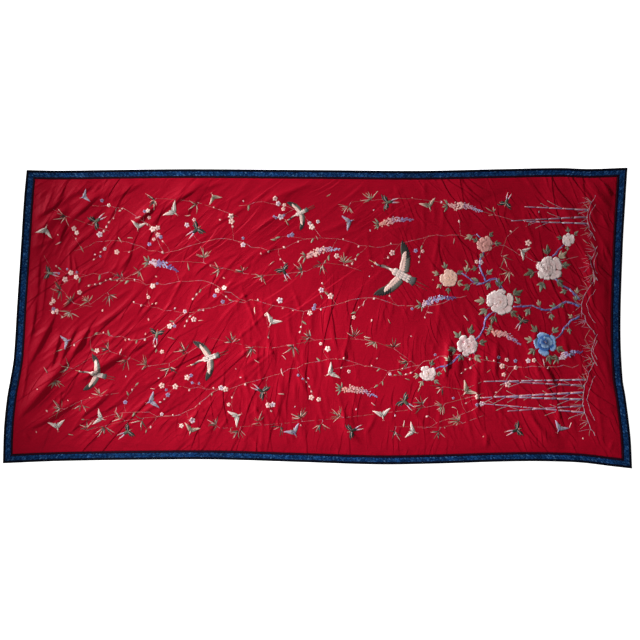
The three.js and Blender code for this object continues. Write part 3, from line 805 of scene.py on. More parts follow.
def distance_along(x, y):
    """How far each point of a line is from its first."""
    return np.concatenate([[0], np.cumsum(np.hypot(np.diff(x), np.diff(y)))])


def band_piece(name, side, outer, inner, height_at, cross_steps, material, slot):
    """One strip of the border. Its top follows height_at(share across, distance along), its back is flat."""
    shares = np.linspace(0, 1, cross_steps + 1)
    x, y = band_rings(side, outer, inner, shares, BAND_STEP)
    along = distance_along(x[:, 0], y[:, 0])
    lift = height_at(shares[None, :], along[:, None])
    x, y = (np.concatenate([axis, axis[:, -1:], axis[:, :1]], axis=1) for axis in (x, y))
    lift = np.concatenate([lift, np.zeros((len(lift), 2))], axis=1)
    points = np.stack([x, y, lift], axis=-1)
    piece = new_piece(name, points.reshape(-1, 3), ring_tube(points), material)
    width = abs(inner[0] - outer[0]) if side in ("bottom", "top") else abs(inner[1] - outer[1])
    across = np.concatenate([shares, [1, 0]]) * width
    uv = np.stack(np.broadcast_arrays(along[:, None], across[None, :]), axis=-1).reshape(-1, 2)
    layer = piece.data.uv_layers.new(name="Strip")
    corners = np.empty(len(piece.data.loops), int)
    piece.data.loops.foreach_get("vertex_index", corners)
    layer.data.foreach_set("uv", uv[corners].astype(np.float32).ravel())
    return piece


def lobed_spot(tree, x, y, radius, lobes, turn, softness):
    """How far a place lies inside a round spot with soft lobes, from 0 to 1. Sizes are in metres."""
    angle = math_node(tree, "MULTIPLY_ADD", math_node(tree, "ARCTAN2", y, x), lobes, turn)
    edge = math_node(tree, "MULTIPLY_ADD", math_node(tree, "COSINE", angle), LOBE_DEPTH * radius, radius)
    square = math_node(tree, "MULTIPLY_ADD", x, x, math_node(tree, "MULTIPLY", y, y))
    inside = math_node(tree, "SUBTRACT", edge, math_node(tree, "SQRT", square))
    return math_node(tree, "DIVIDE", inside, softness, clamp=True)


def uneven_cells(tree, vector, spacing):
    """The way along X and Y from the middle of the nearest of many uneven cells, and the cell's value."""
    cells = tree.nodes.new("ShaderNodeTexVoronoi")
    cells.voronoi_dimensions = "2D"
    set_inputs(cells, Scale=1 / spacing, Randomness=0.8)
    tree.links.new(vector, cells.inputs["Vector"])
    way = tree.nodes.new("ShaderNodeVectorMath")
    way.operation = "SUBTRACT"
    tree.links.new(vector, way.inputs[0])
    tree.links.new(cells.outputs["Position"], way.inputs[1])
    value = tree.nodes.new("ShaderNodeSeparateColor")
    tree.links.new(cells.outputs["Color"], value.inputs[0])
    return *axes_of(tree, way.outputs[0]), value.outputs[0]


# Woven pattern: open blossoms of five lobes among small leaves and curling vines, no two alike.
sprigs, sprigs_in, sprigs_out = effect_group(
    "woven_sprigs",
    [("Vector", "Vector", None)],
    [("Figure", "Float"), ("Outline", "Float"), ("Light", "Float")],
)
strip_place = sprigs_in.outputs["Vector"]
petal_x, petal_y, petal_value = uneven_cells(sprigs, strip_place, BLOSSOM_SPACING)
petal_turn = math_node(sprigs, "MULTIPLY", petal_value, 2 * math.pi)
petals = lobed_spot(sprigs, petal_x, petal_y, BLOSSOM_RADIUS, 5, petal_turn, 0.9 * MM)
petal_edge = lobed_spot(sprigs, petal_x, petal_y, 1.3 * BLOSSOM_RADIUS, 5, petal_turn, 0.9 * MM)
eye = lobed_spot(sprigs, petal_x, petal_y, 0.3 * BLOSSOM_RADIUS, 5, petal_turn, 0.6 * MM)
leaf_x, leaf_y, leaf_value = uneven_cells(sprigs, strip_place, LEAF_SPACING)
leaf_turn = math_node(sprigs, "MULTIPLY", leaf_value, 4 * math.pi)
small_leaf = lobed_spot(sprigs, leaf_x, leaf_y, LEAF_RADIUS, 2, leaf_turn, 0.7 * MM)
leaf_kept = math_node(sprigs, "GREATER_THAN", leaf_value, LEAF_SHARE_LEFT_OUT)
small_leaf = math_node(sprigs, "MULTIPLY", small_leaf, leaf_kept)
vine_way = math_node(sprigs, "SUBTRACT", noise_value(sprigs, strip_place, VINE_SCALE), 0.5)
vine_way = math_node(sprigs, "ABSOLUTE", vine_way)
vine = math_node(sprigs, "MULTIPLY_ADD", vine_way, -VINE_THINNESS, 1.0, clamp=True)
flower = math_node(sprigs, "SUBTRACT", petals, eye, clamp=True)
growth = math_node(sprigs, "MULTIPLY", math_node(sprigs, "MAXIMUM", small_leaf, vine), GROWTH_TONE)
woven_figure = math_node(sprigs, "MAXIMUM", flower, growth)
woven_outline = math_node(sprigs, "SUBTRACT", petal_edge, woven_figure, clamp=True)
lit_flower = math_node(sprigs, "MULTIPLY", flower, petal_value)
lit_leaf = math_node(sprigs, "MULTIPLY", small_leaf, leaf_value)
lit = math_node(sprigs, "MAXIMUM", lit_flower, lit_leaf)
fill_sockets(sprigs, sprigs_out.inputs, (woven_figure, woven_outline, lit))


def blue_brocade(width):
    """The cloth for a strip of one width: dark ground, blue figure and a line along each selvedge."""
    material, tree, shader, _ = cloth_material(f"blue_brocade_{width / MM:.0f}")
    strip = tree.nodes.new("ShaderNodeTexCoord").outputs["UV"]
    woven = use_effect(tree, sprigs, Vector=strip)
    threads = use_effect(tree, weave, Vector=strip, Threads_per_metre=1800.0, Slub=0.5)
    fleck = math_node(tree, "MULTIPLY_ADD", woven.outputs["Light"], 2.6, -1.6, clamp=True)
    figure_tone = mix_colour(tree, fleck, BLUE_FIGURE, PALE_FIGURE)
    colour = mix_colour(tree, woven.outputs["Figure"], NAVY_GROUND, figure_tone)
    colour = mix_colour(tree, woven.outputs["Outline"], colour, NAVY_OUTLINE)
    _, across = axes_of(tree, strip)
    from_edge = math_node(tree, "MINIMUM", across, math_node(tree, "SUBTRACT", width, across))
    off_line = math_node(tree, "ABSOLUTE", math_node(tree, "SUBTRACT", from_edge, SELVEDGE_PLACE))
    line = math_node(tree, "MULTIPLY_ADD", off_line, -1 / SELVEDGE_WIDTH, 1.3, clamp=True)
    colour = mix_colour(tree, math_node(tree, "MULTIPLY", line, 0.75), colour, BROCADE_SELVEDGE)
    wear = noise_value(tree, strip, 19, 3.0, 0.6)
    colour = mix_colour(tree, 1.0, colour, threads.outputs["Tone"], "MULTIPLY")
    colour = mix_colour(tree, 1.0, colour, math_node(tree, "MULTIPLY_ADD", wear, 2.2, -0.1), "MULTIPLY")
    gloss = math_node(tree, "MULTIPLY_ADD", woven.outputs["Figure"], -0.18, 0.58)
    fill_sockets(tree, (shader.inputs["Base Color"], shader.inputs["Roughness"]), (colour, gloss))
    set_inputs(shader, Specular_IOR_Level=0.1, Specular_Tint=BROCADE_LUSTRE)
    under = relief(tree, shader, threads.outputs["Height"], 0.1 * MM)
    raised = math_node(tree, "MULTIPLY_ADD", woven.outputs["Outline"], -0.6, woven.outputs["Figure"])
    relief(tree, shader, raised, 0.5 * MM, under)
    return material


def ribbon_height(across, along):
    """A ribbon's top: a little crowned, and puckered by the seams on both of its edges."""
    slow = np.sin(along / (23 * MM)) * np.sin(along / (61 * MM) + 1.3)
    quick = np.sin(along / (7.4 * MM) + 2 * np.sin(along / (95 * MM)))
    pucker = BROCADE_RIPPLE * (slow + 0.6 * quick * np.abs(2 * across - 1))
    middle = np.sin(np.pi * across)
    return BROCADE_HEIGHT + BROCADE_CROWN * middle + pucker * (0.4 + 0.6 * middle)


ribbon_widths = {"long": BROCADE_INNER[0] - BROCADE_OUTER[0], "short": BROCADE_INNER[1] - BROCADE_OUTER[1]}
ribbon_cloth = {kind: blue_brocade(width) for kind, width in ribbon_widths.items()}
for side in SIDE_WALKS:
    kind = "long" if side in ("bottom", "top") else "short"
    ribbon = band_piece(
        f"brocade_ribbon_{side}",
        side,
        BROCADE_OUTER,
        BROCADE_INNER,
        ribbon_height,
        BROCADE_CROSS_STEPS,
        ribbon_cloth[kind],
        "brocade",
    )
    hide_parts(f"brocade_border_{side}")
    run = distance_along(*place_in_frame(*SIDE_WALKS[side](np.linspace(0, 1, 60)), BROCADE_OUTER))[-1]

# Both edges of the ribbon are finished with a narrow dark tape: the outer binding is folded over the panel's
# raw edge, and the inner piping covers the seam to the silk. Both are rounded, 10 to 13 mm wide, and stitched
# down on the ribbon's edges.
BINDING_LINES = ((0.0, 0.0), (13 * MM, 13 * MM))
PIPING_LINES = ((36.4 * MM, 40.6 * MM), (48 * MM, 51 * MM))
TAPE_HEIGHT = 2.6 * MM
TAPE_EDGE_SHARE = 0.85
TAPE_CROSS_STEPS = 6
TAPE_RIPPLE = 0.12
NAVY_TAPE = (0.0005, 0.0010, 0.0055, 1)
PLUM_TAPE = (0.0110, 0.0014, 0.0070, 1)


def tape_height(across, along):
    """A folded tape's rounded top, tighter at each stitch."""
    round_top = TAPE_EDGE_SHARE + (1 - TAPE_EDGE_SHARE) * np.sqrt(np.clip(np.sin(np.pi * across), 0, 1))
    stitch = 1 - TAPE_RIPPLE * (0.5 + 0.5 * np.sin(along / (5.5 * MM) + 3 * np.sin(along / (140 * MM))))
    return TAPE_HEIGHT * round_top * stitch


def tape_cloth(name, colour):
    """A fine cotton tape, woven in a faint twill and unevenly faded."""
    material, tree, shader, place = cloth_material(name)
    threads = use_effect(tree, weave, Vector=place, Threads_per_metre=1100.0, Slub=0.6)
    faded = noise_value(tree, place, 14, 4.0, 0.65)
    cloth = mix_colour(tree, 1.0, colour, math_node(tree, "MULTIPLY_ADD", faded, 1.6, 0.3), "MULTIPLY")
    cloth = mix_colour(tree, 1.0, cloth, threads.outputs["Tone"], "MULTIPLY")
    gloss = math_node(tree, "MULTIPLY_ADD", faded, 0.2, 0.5)
    fill_sockets(tree, (shader.inputs["Base Color"], shader.inputs["Roughness"]), (cloth, gloss))
    set_inputs(shader, Specular_IOR_Level=0.06)
    relief(tree, shader, threads.outputs["Height"], 0.14 * MM)
    return material


for tape, nodes, lines, cloth in (
    ("binding_tape", "outer_binding", BINDING_LINES, tape_cloth("navy_tape", NAVY_TAPE)),
    ("piping_tape", "inner_piping", PIPING_LINES, tape_cloth("plum_tape", PLUM_TAPE)),
):
    for side in SIDE_WALKS:
        edging = band_piece(f"{tape}_{side}", side, *lines, tape_height, TAPE_CROSS_STEPS, cloth, "edging")
        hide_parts(f"{nodes}_{side}")

# Full-blown peonies grow at the right-hand end, worked petal by petal in untwisted silk floss: satin stitch
# that lies in a low crown over the silk, cream at each scalloped rim and dusky at its root. One is worked in
# blues. Each patch of stitches is a closed pillow of threads. Its sizes are in millimetres and degrees.
FLOSS_SINK = 0.25
THREAD_PITCH = 0.6 * MM
THREAD_SLANT = 0.25
STITCH_LENGTH = 9 * MM
STITCH_STAGGER = 7.0
FLOSS_DEPTH = 0.16 * MM
FAN_SCALLOP = 0.05
FAN_ROUNDING = 0.3
# How much each patch darkens towards its long sides, as painted shade where the floss dips to the silk.
PAINTED_EDGE_SHADE = 0.18


def disc(t):
    """A circle's width along its diameter, with t from 0 to 1."""
    return np.sqrt(np.clip(1 - (2 * t - 1) ** 2, 0, 1))


# Each shape's points along and across, its width along its length, and whether its back follows the cloth.
SHAPES = {
    "petal": {"steps": 6, "across": 4, "width": lambda t: np.sin(np.pi * t**1.3) ** 0.6},
    "round": {"steps": 5, "across": 4, "width": disc},
    "knot": {"steps": 3, "across": 2, "width": disc},
    "leaf": {"steps": 7, "across": 4, "width": lambda t: np.sin(np.pi * t**0.72) ** 0.85},
    "blade": {"steps": 6, "across": 2, "width": lambda t: np.sin(np.pi * (0.12 + 0.88 * t) ** 0.8) ** 0.9},
    "feather": {"steps": 6, "across": 4, "width": lambda t: np.minimum(1, 0.4 + 2.5 * t) * np.sqrt(1 - t**5)},
    "fan": {
        "steps": 6,
        "across": 10,
        "lined": True,
        "width": lambda t: 0.22 + 0.78 * np.sin(np.pi / 2 * np.minimum(t / 0.72, 1)),
    },
    "pad": {"steps": 10, "across": 10, "lined": True, "width": disc},
    "stem": {"steps": 5, "across": 2, "width": lambda t: 1 - 0.12 * t},
}
LEAST_WIDTH_SHARE = 0.05


def dyed(hex_colour):
    """A dye's linear colour."""
    levels = np.array([int(hex_colour[i : i + 2], 16) for i in (0, 2, 4)]) / 255
    return np.where(levels <= 0.04045, levels / 12.92, ((levels + 0.055) / 1.055) ** 2.4)


FLOSS_CODES = {
    "ivory": "f8d3cb", "pearl": "eadad7", "blush": "cfa5a4", "cream": "edc2b4", "shell": "e8a8a0",
    "rose": "c4828a", "dusk": "a0605f", "coral": "d6857a", "peach": "e6b299", "amber": "c9853f",
    "lilac": "b59cbf", "violet": "6f60a2", "plum": "4a3a78", "pale_blue": "9dbde3",
    "blue": "4372b8", "navy": "1b2a5e", "sage": "a3a08a", "olive": "736a54", "moss": "47453a",
    "pine": "2b433c", "beige": "c4a893", "brown": "6c4a40", "grey": "94928f", "pale_grey": "c3beb8",
    "black": "17181f",
}
FLOSS = {name: dyed(code) for name, code in FLOSS_CODES.items()}


def surface_height(x, y):
    """The height of the silk's top, as its mesh has it, at each place."""
    long_inset, short_inset = SILK_INSET
    left, right = left_at(y) + short_inset, right_at(y) - short_inset
    bottom, top = bottom_at(x) + long_inset, top_at(x) - long_inset
    across, up = (x - left) / (right - left), (y - bottom) / (top - bottom) * SILK_ROWS
    column = np.clip(np.searchsorted(column_share, across) - 1, 0, SILK_COLUMNS - 1)
    row = np.clip(up.astype(int), 0, SILK_ROWS - 1)
    part_x = (across - column_share[column]) / (column_share[column + 1] - column_share[column])
    part_y = up - row
    low_left, low_right = silk_top[row, column], silk_top[row, column + 1]
    high_left, high_right = silk_top[row + 1, column], silk_top[row + 1, column + 1]
    lower = low_left + part_x * (low_right - low_left) + part_y * (high_right - low_right)
    upper = low_left + part_y * (high_left - low_left) + part_x * (high_right - high_left)
    return np.where(part_x >= part_y, lower, upper)


class Needlework:
    """The stitching of one piece. Patches are gathered by shape, and sewn to the silk together."""

    def __init__(self):
        self.rows = {shape: [] for shape in SHAPES}

    def add(self, shape, x, y, heading, length, width, root, tip, bend=0.0, lift=0.4, crown=0.7):
        """One patch from (x, y), as long and wide as given, that turns by bend from root to tip."""
        self.rows[shape].append((x, y, heading, length, width, bend, lift, crown, *FLOSS[root], *FLOSS[tip]))

    def patches(self, shape):
        """Places, lifts, colours, thread places and faces of every patch of one shape."""
        form = SHAPES[shape]
        steps, cross = form["steps"], form["across"]
        table = np.array(self.rows[shape], float)
        x, y, heading, length, width, bend, lift, crown = (table[:, i, None] for i in range(8))
        share = np.linspace(0, 1, steps + 1)[None, :]
        turn = np.radians(heading + bend * (share[:, :-1] + share[:, 1:] - 1) / 2)
        zero = np.zeros_like(x)
        spine_x = x + np.concatenate([zero, np.cumsum(np.cos(turn) * length / steps, axis=1)], axis=1)
        spine_y = y + np.concatenate([zero, np.cumsum(np.sin(turn) * length / steps, axis=1)], axis=1)
        facing = np.radians(heading + bend * (share - 0.5))
        half = width / 2 * np.maximum(form["width"](share), LEAST_WIDTH_SHARE)
        side = np.linspace(-1, 1, cross + 1)[None, None, :]
        sideways = half[:, :, None] * side
        forward = np.zeros_like(sideways)
        if shape == "fan":
            scallop = np.cos(3 * np.pi * side) * FAN_SCALLOP - FAN_ROUNDING * side**2
            forward = length[:, :, None] * scallop * share[:, :, None] ** 2
        cos, sin = np.cos(facing)[:, :, None], np.sin(facing)[:, :, None]
        point_x = spine_x[:, :, None] + forward * cos - sideways * sin
        point_y = spine_y[:, :, None] + forward * sin + sideways * cos
        dome = np.sqrt(np.clip(1 - side**2, 0, 1)) * (0.45 + 0.55 * np.sin(np.pi * share[:, :, None]))
        end = (share[:, :, None] == 0) | (share[:, :, None] == 1)
        over = np.where(end, -FLOSS_SINK / 2, crown[:, :, None] * dome)
        raised = lift[:, :, None] + np.where(np.abs(side) == 1, -FLOSS_SINK, over)
        root, tip = table[:, None, None, 8:11], table[:, None, None, 11:14]
        colour = root + (tip - root) * share[:, :, None, None]
        # Painted shade: each patch darkens towards its long sides.
        colour = colour * (1 - PAINTED_EDGE_SHADE * np.abs(side[..., None]) ** 3)
        along = share[:, :, None] * length[:, :, None]
        slanted = sideways + THREAD_SLANT * along * np.sign(side)
        thread = np.stack(np.broadcast_arrays(slanted, along), axis=-1)
        number = np.arange(point_x.size).reshape(point_x.shape)
        tops = [number[:, :-1, :-1], number[:, 1:, :-1], number[:, 1:, 1:], number[:, :-1, 1:]]
        faces = np.stack(tops, axis=-1).reshape(-1, 4).tolist()
        values = [point_x, point_y, raised, colour, thread]
        if form.get("lined"):
            inner = [value[:, 1:-1, 1:-1] for value in values]
            inner[2] = np.broadcast_to(lift[:, :, None] - 2 * FLOSS_SINK, inner[0].shape)
            under = number.copy()
            under[:, 1:-1, 1:-1] = number.size + np.arange(inner[0].size).reshape(inner[0].shape)
            backs = [under[:, :-1, :-1], under[:, :-1, 1:], under[:, 1:, 1:], under[:, 1:, :-1]]
        else:
            inner = [value[:0] for value in values]
            backs = [number[:, :-1, 0], number[:, :-1, -1], number[:, 1:, -1], number[:, 1:, 0]]
            faces += number[:, 0, :].tolist() + number[:, -1, ::-1].tolist()
        faces += np.stack(backs, axis=-1).reshape(-1, 4).tolist()
        arrays = [
            np.concatenate([value.reshape(-1, *value.shape[3:]), lining.reshape(-1, *value.shape[3:])])
            for value, lining in zip(values, inner)
        ]
        return *arrays, faces

    def sew(self, name):
        """Makes the piece: every patch laid on the silk, in floss of its own colours."""
        parts, faces, first = [], [], 0
        for shape in (shape for shape in SHAPES if self.rows[shape]):
            *arrays, patch_faces = self.patches(shape)
            faces += [[first + point for point in face] for face in patch_faces]
            first += len(arrays[0])
            parts.append(arrays)
        x, y, lift, colour, thread = (np.concatenate(column) for column in zip(*parts))
        x, y = x * MM, y * MM
        points = np.stack([x, y, surface_height(x, y) + lift * MM], axis=-1)
        piece = new_piece(name, points, faces, silk_floss)
        tint = piece.data.color_attributes.new("Floss", "FLOAT_COLOR", "POINT")
        opaque = np.column_stack([colour, np.ones(len(colour))])
        tint.data.foreach_set("color", opaque.astype(np.float32).ravel())
        corners = np.empty(len(piece.data.loops), int)
        piece.data.loops.foreach_get("vertex_index", corners)
        layer = piece.data.uv_layers.new(name="Thread")
        layer.data.foreach_set("uv", (thread[corners] * MM).astype(np.float32).ravel())


# Laid floss: round threads side by side, each a little lighter or darker than the next. Their stitches are
# staggered, so that no line runs across them.
floss, floss_in, floss_out = effect_group(
    "laid_floss",
    [("Vector", "Vector", None), ("Pitch", "Float", THREAD_PITCH)],
    [("Height", "Float"), ("Tone", "Float")],
)
floss_x, floss_y = axes_of(floss, floss_in.outputs["Vector"])
thread_count = math_node(floss, "DIVIDE", floss_x, floss_in.outputs["Pitch"])
thread_number = math_node(floss, "FLOOR", thread_count)
thread_noise = floss.nodes.new("ShaderNodeTexWhiteNoise")
thread_noise.noise_dimensions = "1D"
floss.links.new(thread_number, thread_noise.inputs["W"])
stitch_count = math_node(floss, "DIVIDE", floss_y, STITCH_LENGTH)
stagger = math_node(floss, "MULTIPLY_ADD", thread_noise.outputs["Value"], STITCH_STAGGER, stitch_count)
stitch_noise = floss.nodes.new("ShaderNodeTexWhiteNoise")
stitch_noise.noise_dimensions = "2D"
stitch_cell = floss.nodes.new("ShaderNodeCombineXYZ")
floss.links.new(thread_number, stitch_cell.inputs[0])
floss.links.new(math_node(floss, "FLOOR", stagger), stitch_cell.inputs[1])
floss.links.new(stitch_cell.outputs[0], stitch_noise.inputs["Vector"])
stitch_part = math_node(floss, "SUBTRACT", math_node(floss, "FRACT", stagger), 0.5)
stitch_end = math_node(floss, "MULTIPLY", math_node(floss, "ABSOLUTE", stitch_part), 2)
stitch_bow = math_node(floss, "SUBTRACT", 1.0, math_node(floss, "POWER", stitch_end, 6))
floss_height = math_node(floss, "MULTIPLY", thread_crowns(floss, thread_count), stitch_bow)
floss_tone = math_node(floss, "MULTIPLY_ADD", stitch_noise.outputs["Value"], 0.3, 0.84)
fill_sockets(floss, floss_out.inputs, (floss_height, floss_tone))

silk_floss, tree, shader, _ = cloth_material("silk_floss")
thread_place = tree.nodes.new("ShaderNodeTexCoord").outputs["UV"]
laid = use_effect(tree, floss, Vector=thread_place, Pitch=THREAD_PITCH)
floss_colour = tree.nodes.new("ShaderNodeVertexColor")
floss_colour.layer_name = "Floss"
dye = mix_colour(tree, 1.0, floss_colour.outputs["Color"], laid.outputs["Tone"], "MULTIPLY")
gloss = math_node(tree, "MULTIPLY_ADD", laid.outputs["Height"], -0.12, 0.5)
fill_sockets(tree, (shader.inputs["Base Color"], shader.inputs["Roughness"]), (dye, gloss))
set_inputs(shader, Specular_IOR_Level=0.35, Sheen_Weight=0.1, Sheen_Roughness=0.3)
relief(tree, shader, laid.outputs["Height"], FLOSS_DEPTH)

# The pieces of embroidery so far, and the places that their motifs take up: x, y and reach.
taken = []


def has_room(x, y, reach):
    """Whether a round place is still free of other motifs. A free one is claimed."""
    if any(math.hypot(x - other_x, y - other_y) < reach + other for other_x, other_y, other in taken):
        return False
    taken.append((x, y, reach))
    return True


def one_of(choices):
    """One entry of a list, drawn by chance."""
    return choices[chance.integers(len(choices))]


def ahead(x, y, heading, distance):
    """The point some way off in a direction."""
    return x + distance * math.cos(math.radians(heading)), y + distance * math.sin(math.radians(heading))


# Where each peony grows: x, y, width, turn, and its floss from root to rim.
PEONIES = [
    (1235, 265, 142, 10, "blush", "pearl"),
    (975, 85, 150, 80, "blush", "pearl"),
    (805, -150, 116, 140, "rose", "pearl"),
    (700, 215, 98, 30, "peach", "cream"),
    (590, -300, 88, 60, "blush", "pearl"),
    (900, 390, 88, 200, "dusk", "shell"),
    (1215, -130, 128, 45, "navy", "pale_blue"),
    (1345, 420, 68, 120, "blush", "pearl"),
]
PEONY_RINGS = [
    {"petals": 9, "start": 0.20, "length": 0.30, "width": 0.33, "lift": 0.4},
    {"petals": 8, "start": 0.11, "length": 0.27, "width": 0.29, "lift": 0.75},
    {"petals": 6, "start": 0.04, "length": 0.23, "width": 0.25, "lift": 1.1},
    {"petals": 4, "start": 0.0, "length": 0.14, "width": 0.17, "lift": 1.45},
]
PEONY_STRAY = 0.05
PEONY_PAD = 0.66
PEONY_KNOTS = 9
PEONY_LEAVES = 6
BLUE_RINGS = [("blue", "pale_blue"), ("navy", "blue"), ("navy", "pale_blue"), ("navy", "blue")]


def peony(work, x, y, size, turn, root, rim):
    """One peony from above: a round pad, and four rings of scalloped petals that overlap like tiles."""
    backing = "blue" if root == "navy" else root
    pad = PEONY_PAD * size
    work.add("pad", *ahead(x, y, turn, -pad / 2), turn, pad, pad, backing, backing, lift=0.2)
    for ring_number, ring in enumerate(PEONY_RINGS):
        colours = BLUE_RINGS[ring_number] if root == "navy" else (root, rim)
        middle = ahead(x, y, chance.uniform(0, 360), PEONY_STRAY * size)
        for i in range(ring["petals"]):
            heading = turn + 360 * (i + 0.5 * ring_number) / ring["petals"] + chance.normal(0, 9)
            stretch = chance.uniform(0.8, 1.16)
            start = ahead(*middle, heading, ring["start"] * size)
            length, width = ring["length"] * size * stretch, ring["width"] * size
            form = {"bend": chance.normal(0, 8), "lift": ring["lift"] + 0.12 * (i % 3), "crown": 0.65}
            work.add("fan", *start, heading, length, width, *colours, **form)
    for _ in range(PEONY_KNOTS):
        spot = ahead(x, y, chance.uniform(0, 360), chance.uniform(0, 0.06) * size)
        work.add("knot", *spot, 0, 4, 4, "amber", "sage", lift=1.9, crown=1.0)


def peony_leaf(work, x, y, heading, size, dyes):
    """A three-part peony leaf on its short stalk."""
    work.add("stem", x, y, heading, size * 0.35, 3.2, "violet", "olive", lift=0.2)
    fork = ahead(x, y, heading, size * 0.3)
    for offset, share in ((0, 0.72), (-38, 0.5), (38, 0.5)):
        length = size * share * chance.uniform(0.9, 1.1)
        turned = heading + offset + chance.normal(0, 5)
        work.add("leaf", *fork, turned, length, length * 0.42, *dyes, bend=chance.normal(0, 12), lift=0.5)
        work.add("stem", *fork, turned, length * 0.85, 1.4, "beige", "sage", lift=1.0, crown=0.5)


PEONY_LEAF_DYES = [
    ("moss", "olive"), ("pine", "sage"), ("moss", "sage"), ("olive", "beige"), ("pine", "olive")
]
peonies = Needlework()
for x, y, size, turn, root, rim in PEONIES:
    taken.append((x, y, size / 2 + 4))
    peony(peonies, x, y, size, turn, root, rim)
    for i in range(PEONY_LEAVES):
        leaf_heading = turn + 360 * i / PEONY_LEAVES + chance.normal(0, 16)
        leaf_start = ahead(x, y, leaf_heading, size * 0.4)
        leaf_size = chance.uniform(0.42, 0.62) * size
        leaf_dyes = one_of(PEONY_LEAF_DYES)
        if has_room(*ahead(*leaf_start, leaf_heading, leaf_size * 0.62), leaf_size * 0.3):
            peony_leaf(peonies, *leaf_start, leaf_heading, leaf_size, leaf_dyes)
peonies.sew("peonies")

# The peonies and the wisteria climb on gnarled stems, the garden's only thick ones. They are laid in violet
# and blue floss as short overlapping runs of slanted stitches, with a thin pale lilac painted highlight along
# their upper side, and they carry broad dark leaves.
RUN_OVERLAP = 1.08
STEM_CROWN = 0.35
SIDE_MARGIN = 75
LONG_MARGIN = 135


def smooth_route(points, step):
    """Places at even steps along a smooth curve through a few points."""
    route = np.array(points, float)
    padded = np.vstack([2 * route[0] - route[1], route, 2 * route[-1] - route[-2]])
    t = np.linspace(0, 1, 24, endpoint=False)[:, None]
    stretches = []
    for i in range(len(route) - 1):
        p0, p1, p2, p3 = padded[i : i + 4]
        bent = (2 * p0 - 5 * p1 + 4 * p2 - p3) * t**2 + (3 * p1 - p0 - 3 * p2 + p3) * t**3
        stretches.append(p1 + ((p2 - p0) * t + bent) / 2)
    dense = np.vstack([*stretches, route[-1:]])
    walked = np.concatenate([[0], np.cumsum(np.hypot(*np.diff(dense, axis=0).T))])
    stops = np.linspace(0, walked[-1], max(1, round(walked[-1] / step)) + 1)
    return np.column_stack([np.interp(stops, walked, dense[:, k]) for k in (0, 1)])


def under_peony(x, y):
    """Whether a place is covered by a peony."""
    return any(math.hypot(x - other_x, y - other_y) < 0.45 * size for other_x, other_y, size, *_ in PEONIES)


def stem_along(work, points, widths, dyes, run=44, crook=0.0, lift=0.25):
    """A stem in short runs along a smooth route, that tapers. Gives each run's end and heading."""
    places = smooth_route(points, run)
    places[1:-1] += chance.normal(0, crook, (len(places) - 2, 2)) if crook else 0
    stops = []
    for i, ((x, y), (end_x, end_y)) in enumerate(zip(places[:-1], places[1:])):
        heading = math.degrees(math.atan2(end_y - y, end_x - x))
        width = widths[0] + (widths[1] - widths[0]) * (i + 0.5) / (len(places) - 1)
        length = math.hypot(end_x - x, end_y - y) * RUN_OVERLAP
        crown = STEM_CROWN + 0.05 * width
        if under_peony((x + end_x) / 2, (y + end_y) / 2):
            continue
        work.add("stem", x, y, heading, length, width, *dyes[i % len(dyes)], lift=lift, crown=crown)
        stops.append((end_x, end_y, heading))
    return stops


def wandering(x, y, heading, length, wander, reach=38):
    """The points of a twig that wanders about its heading."""
    count = max(2, round(length / reach))
    points = [(x, y)]
    for _ in range(count):
        heading += chance.normal(0, wander)
        points.append(ahead(*points[-1], heading, length / count))
    return points


def on_ground(x, y):
    """Whether a place lies on the silk, at least a margin in from its edges."""
    inset = SILK_INSET[1] / MM
    beside = min(x - left_at(y * MM) / MM - inset, right_at(y * MM) / MM - inset - x)
    above = min(y - bottom_at(x * MM) / MM, top_at(x * MM) / MM - y)
    return beside > SIDE_MARGIN and above > LONG_MARGIN


GNARLED_STEMS = [
    [(1404, 60), (1330, 88), (1240, 42), (1130, 66), (1050, 60), (975, 85)],
    [(950, 40), (900, -10), (880, -80), (805, -150), (760, -196), (700, -250), (650, -262), (590, -300)],
    [(1404, 100), (1350, 152), (1288, 186), (1235, 265), (1272, 345), (1345, 420)],
    [(1404, 10), (1340, -30), (1290, -100), (1215, -130)],
    [(1000, 140), (950, 205), (856, 182), (770, 240), (700, 215)],
    [(900, 196), (868, 290), (900, 390), (852, 448)],
]
GNARLED_DYES = [("violet", "blue"), ("plum", "violet"), ("blue", "lilac"), ("violet", "plum")]
stems = Needlework()
for points in GNARLED_STEMS:
    stops = stem_along(stems, points, (16, 7), GNARLED_DYES, run=26, crook=3.5, lift=0.1)
    # A thin pale lilac run just above each stem's middle is a painted highlight along its upper side.
    painted_highlight = [ahead(x, y, 90, 3) for x, y in points]
    stem_along(stems, painted_highlight, (4, 2), [("lilac", "violet")], run=40, lift=0.9)
    for i, (x, y, heading) in enumerate(stops[::2]):
        side = 1 if i % 2 else -1
        leaf_heading = heading + side * chance.uniform(40, 85)
        start = ahead(x, y, leaf_heading, 6)
        size = chance.uniform(42, 66)
        dyes = one_of(PEONY_LEAF_DYES)
        if has_room(*ahead(*start, leaf_heading, size * 0.6), size * 0.28):
            peony_leaf(stems, *start, leaf_heading, size, dyes)
stems.sew("gnarled_stems")

# Cranes fly over the garden. Each is built up from its tail forwards in overlapping satin-stitch feathers,
# with grey and black flight feathers, an ivory back and a coral crown.
CRANES = [
    (440, 235, 152, 330),
    (-585, -215, 198, 225),
    (-1185, -300, 166, 205),
    (-95, 560, 206, 170),
]
# A row of wing feathers: how many, the first one's turn and the spread of the rest in degrees, the length of
# the first and the last, and their width. Sizes are shares of the bird's length.
PRIMARIES = {"count": 8, "first": 62, "spread": 62, "lengths": (0.27, 0.2), "width": 0.055}
SECONDARIES = {"count": 8, "first": 122, "spread": 34, "lengths": (0.2, 0.15), "width": 0.05}
COVERTS = {"count": 8, "first": 98, "spread": 42, "lengths": (0.11, 0.09), "width": 0.055}
CRANE_LEG = 3.2


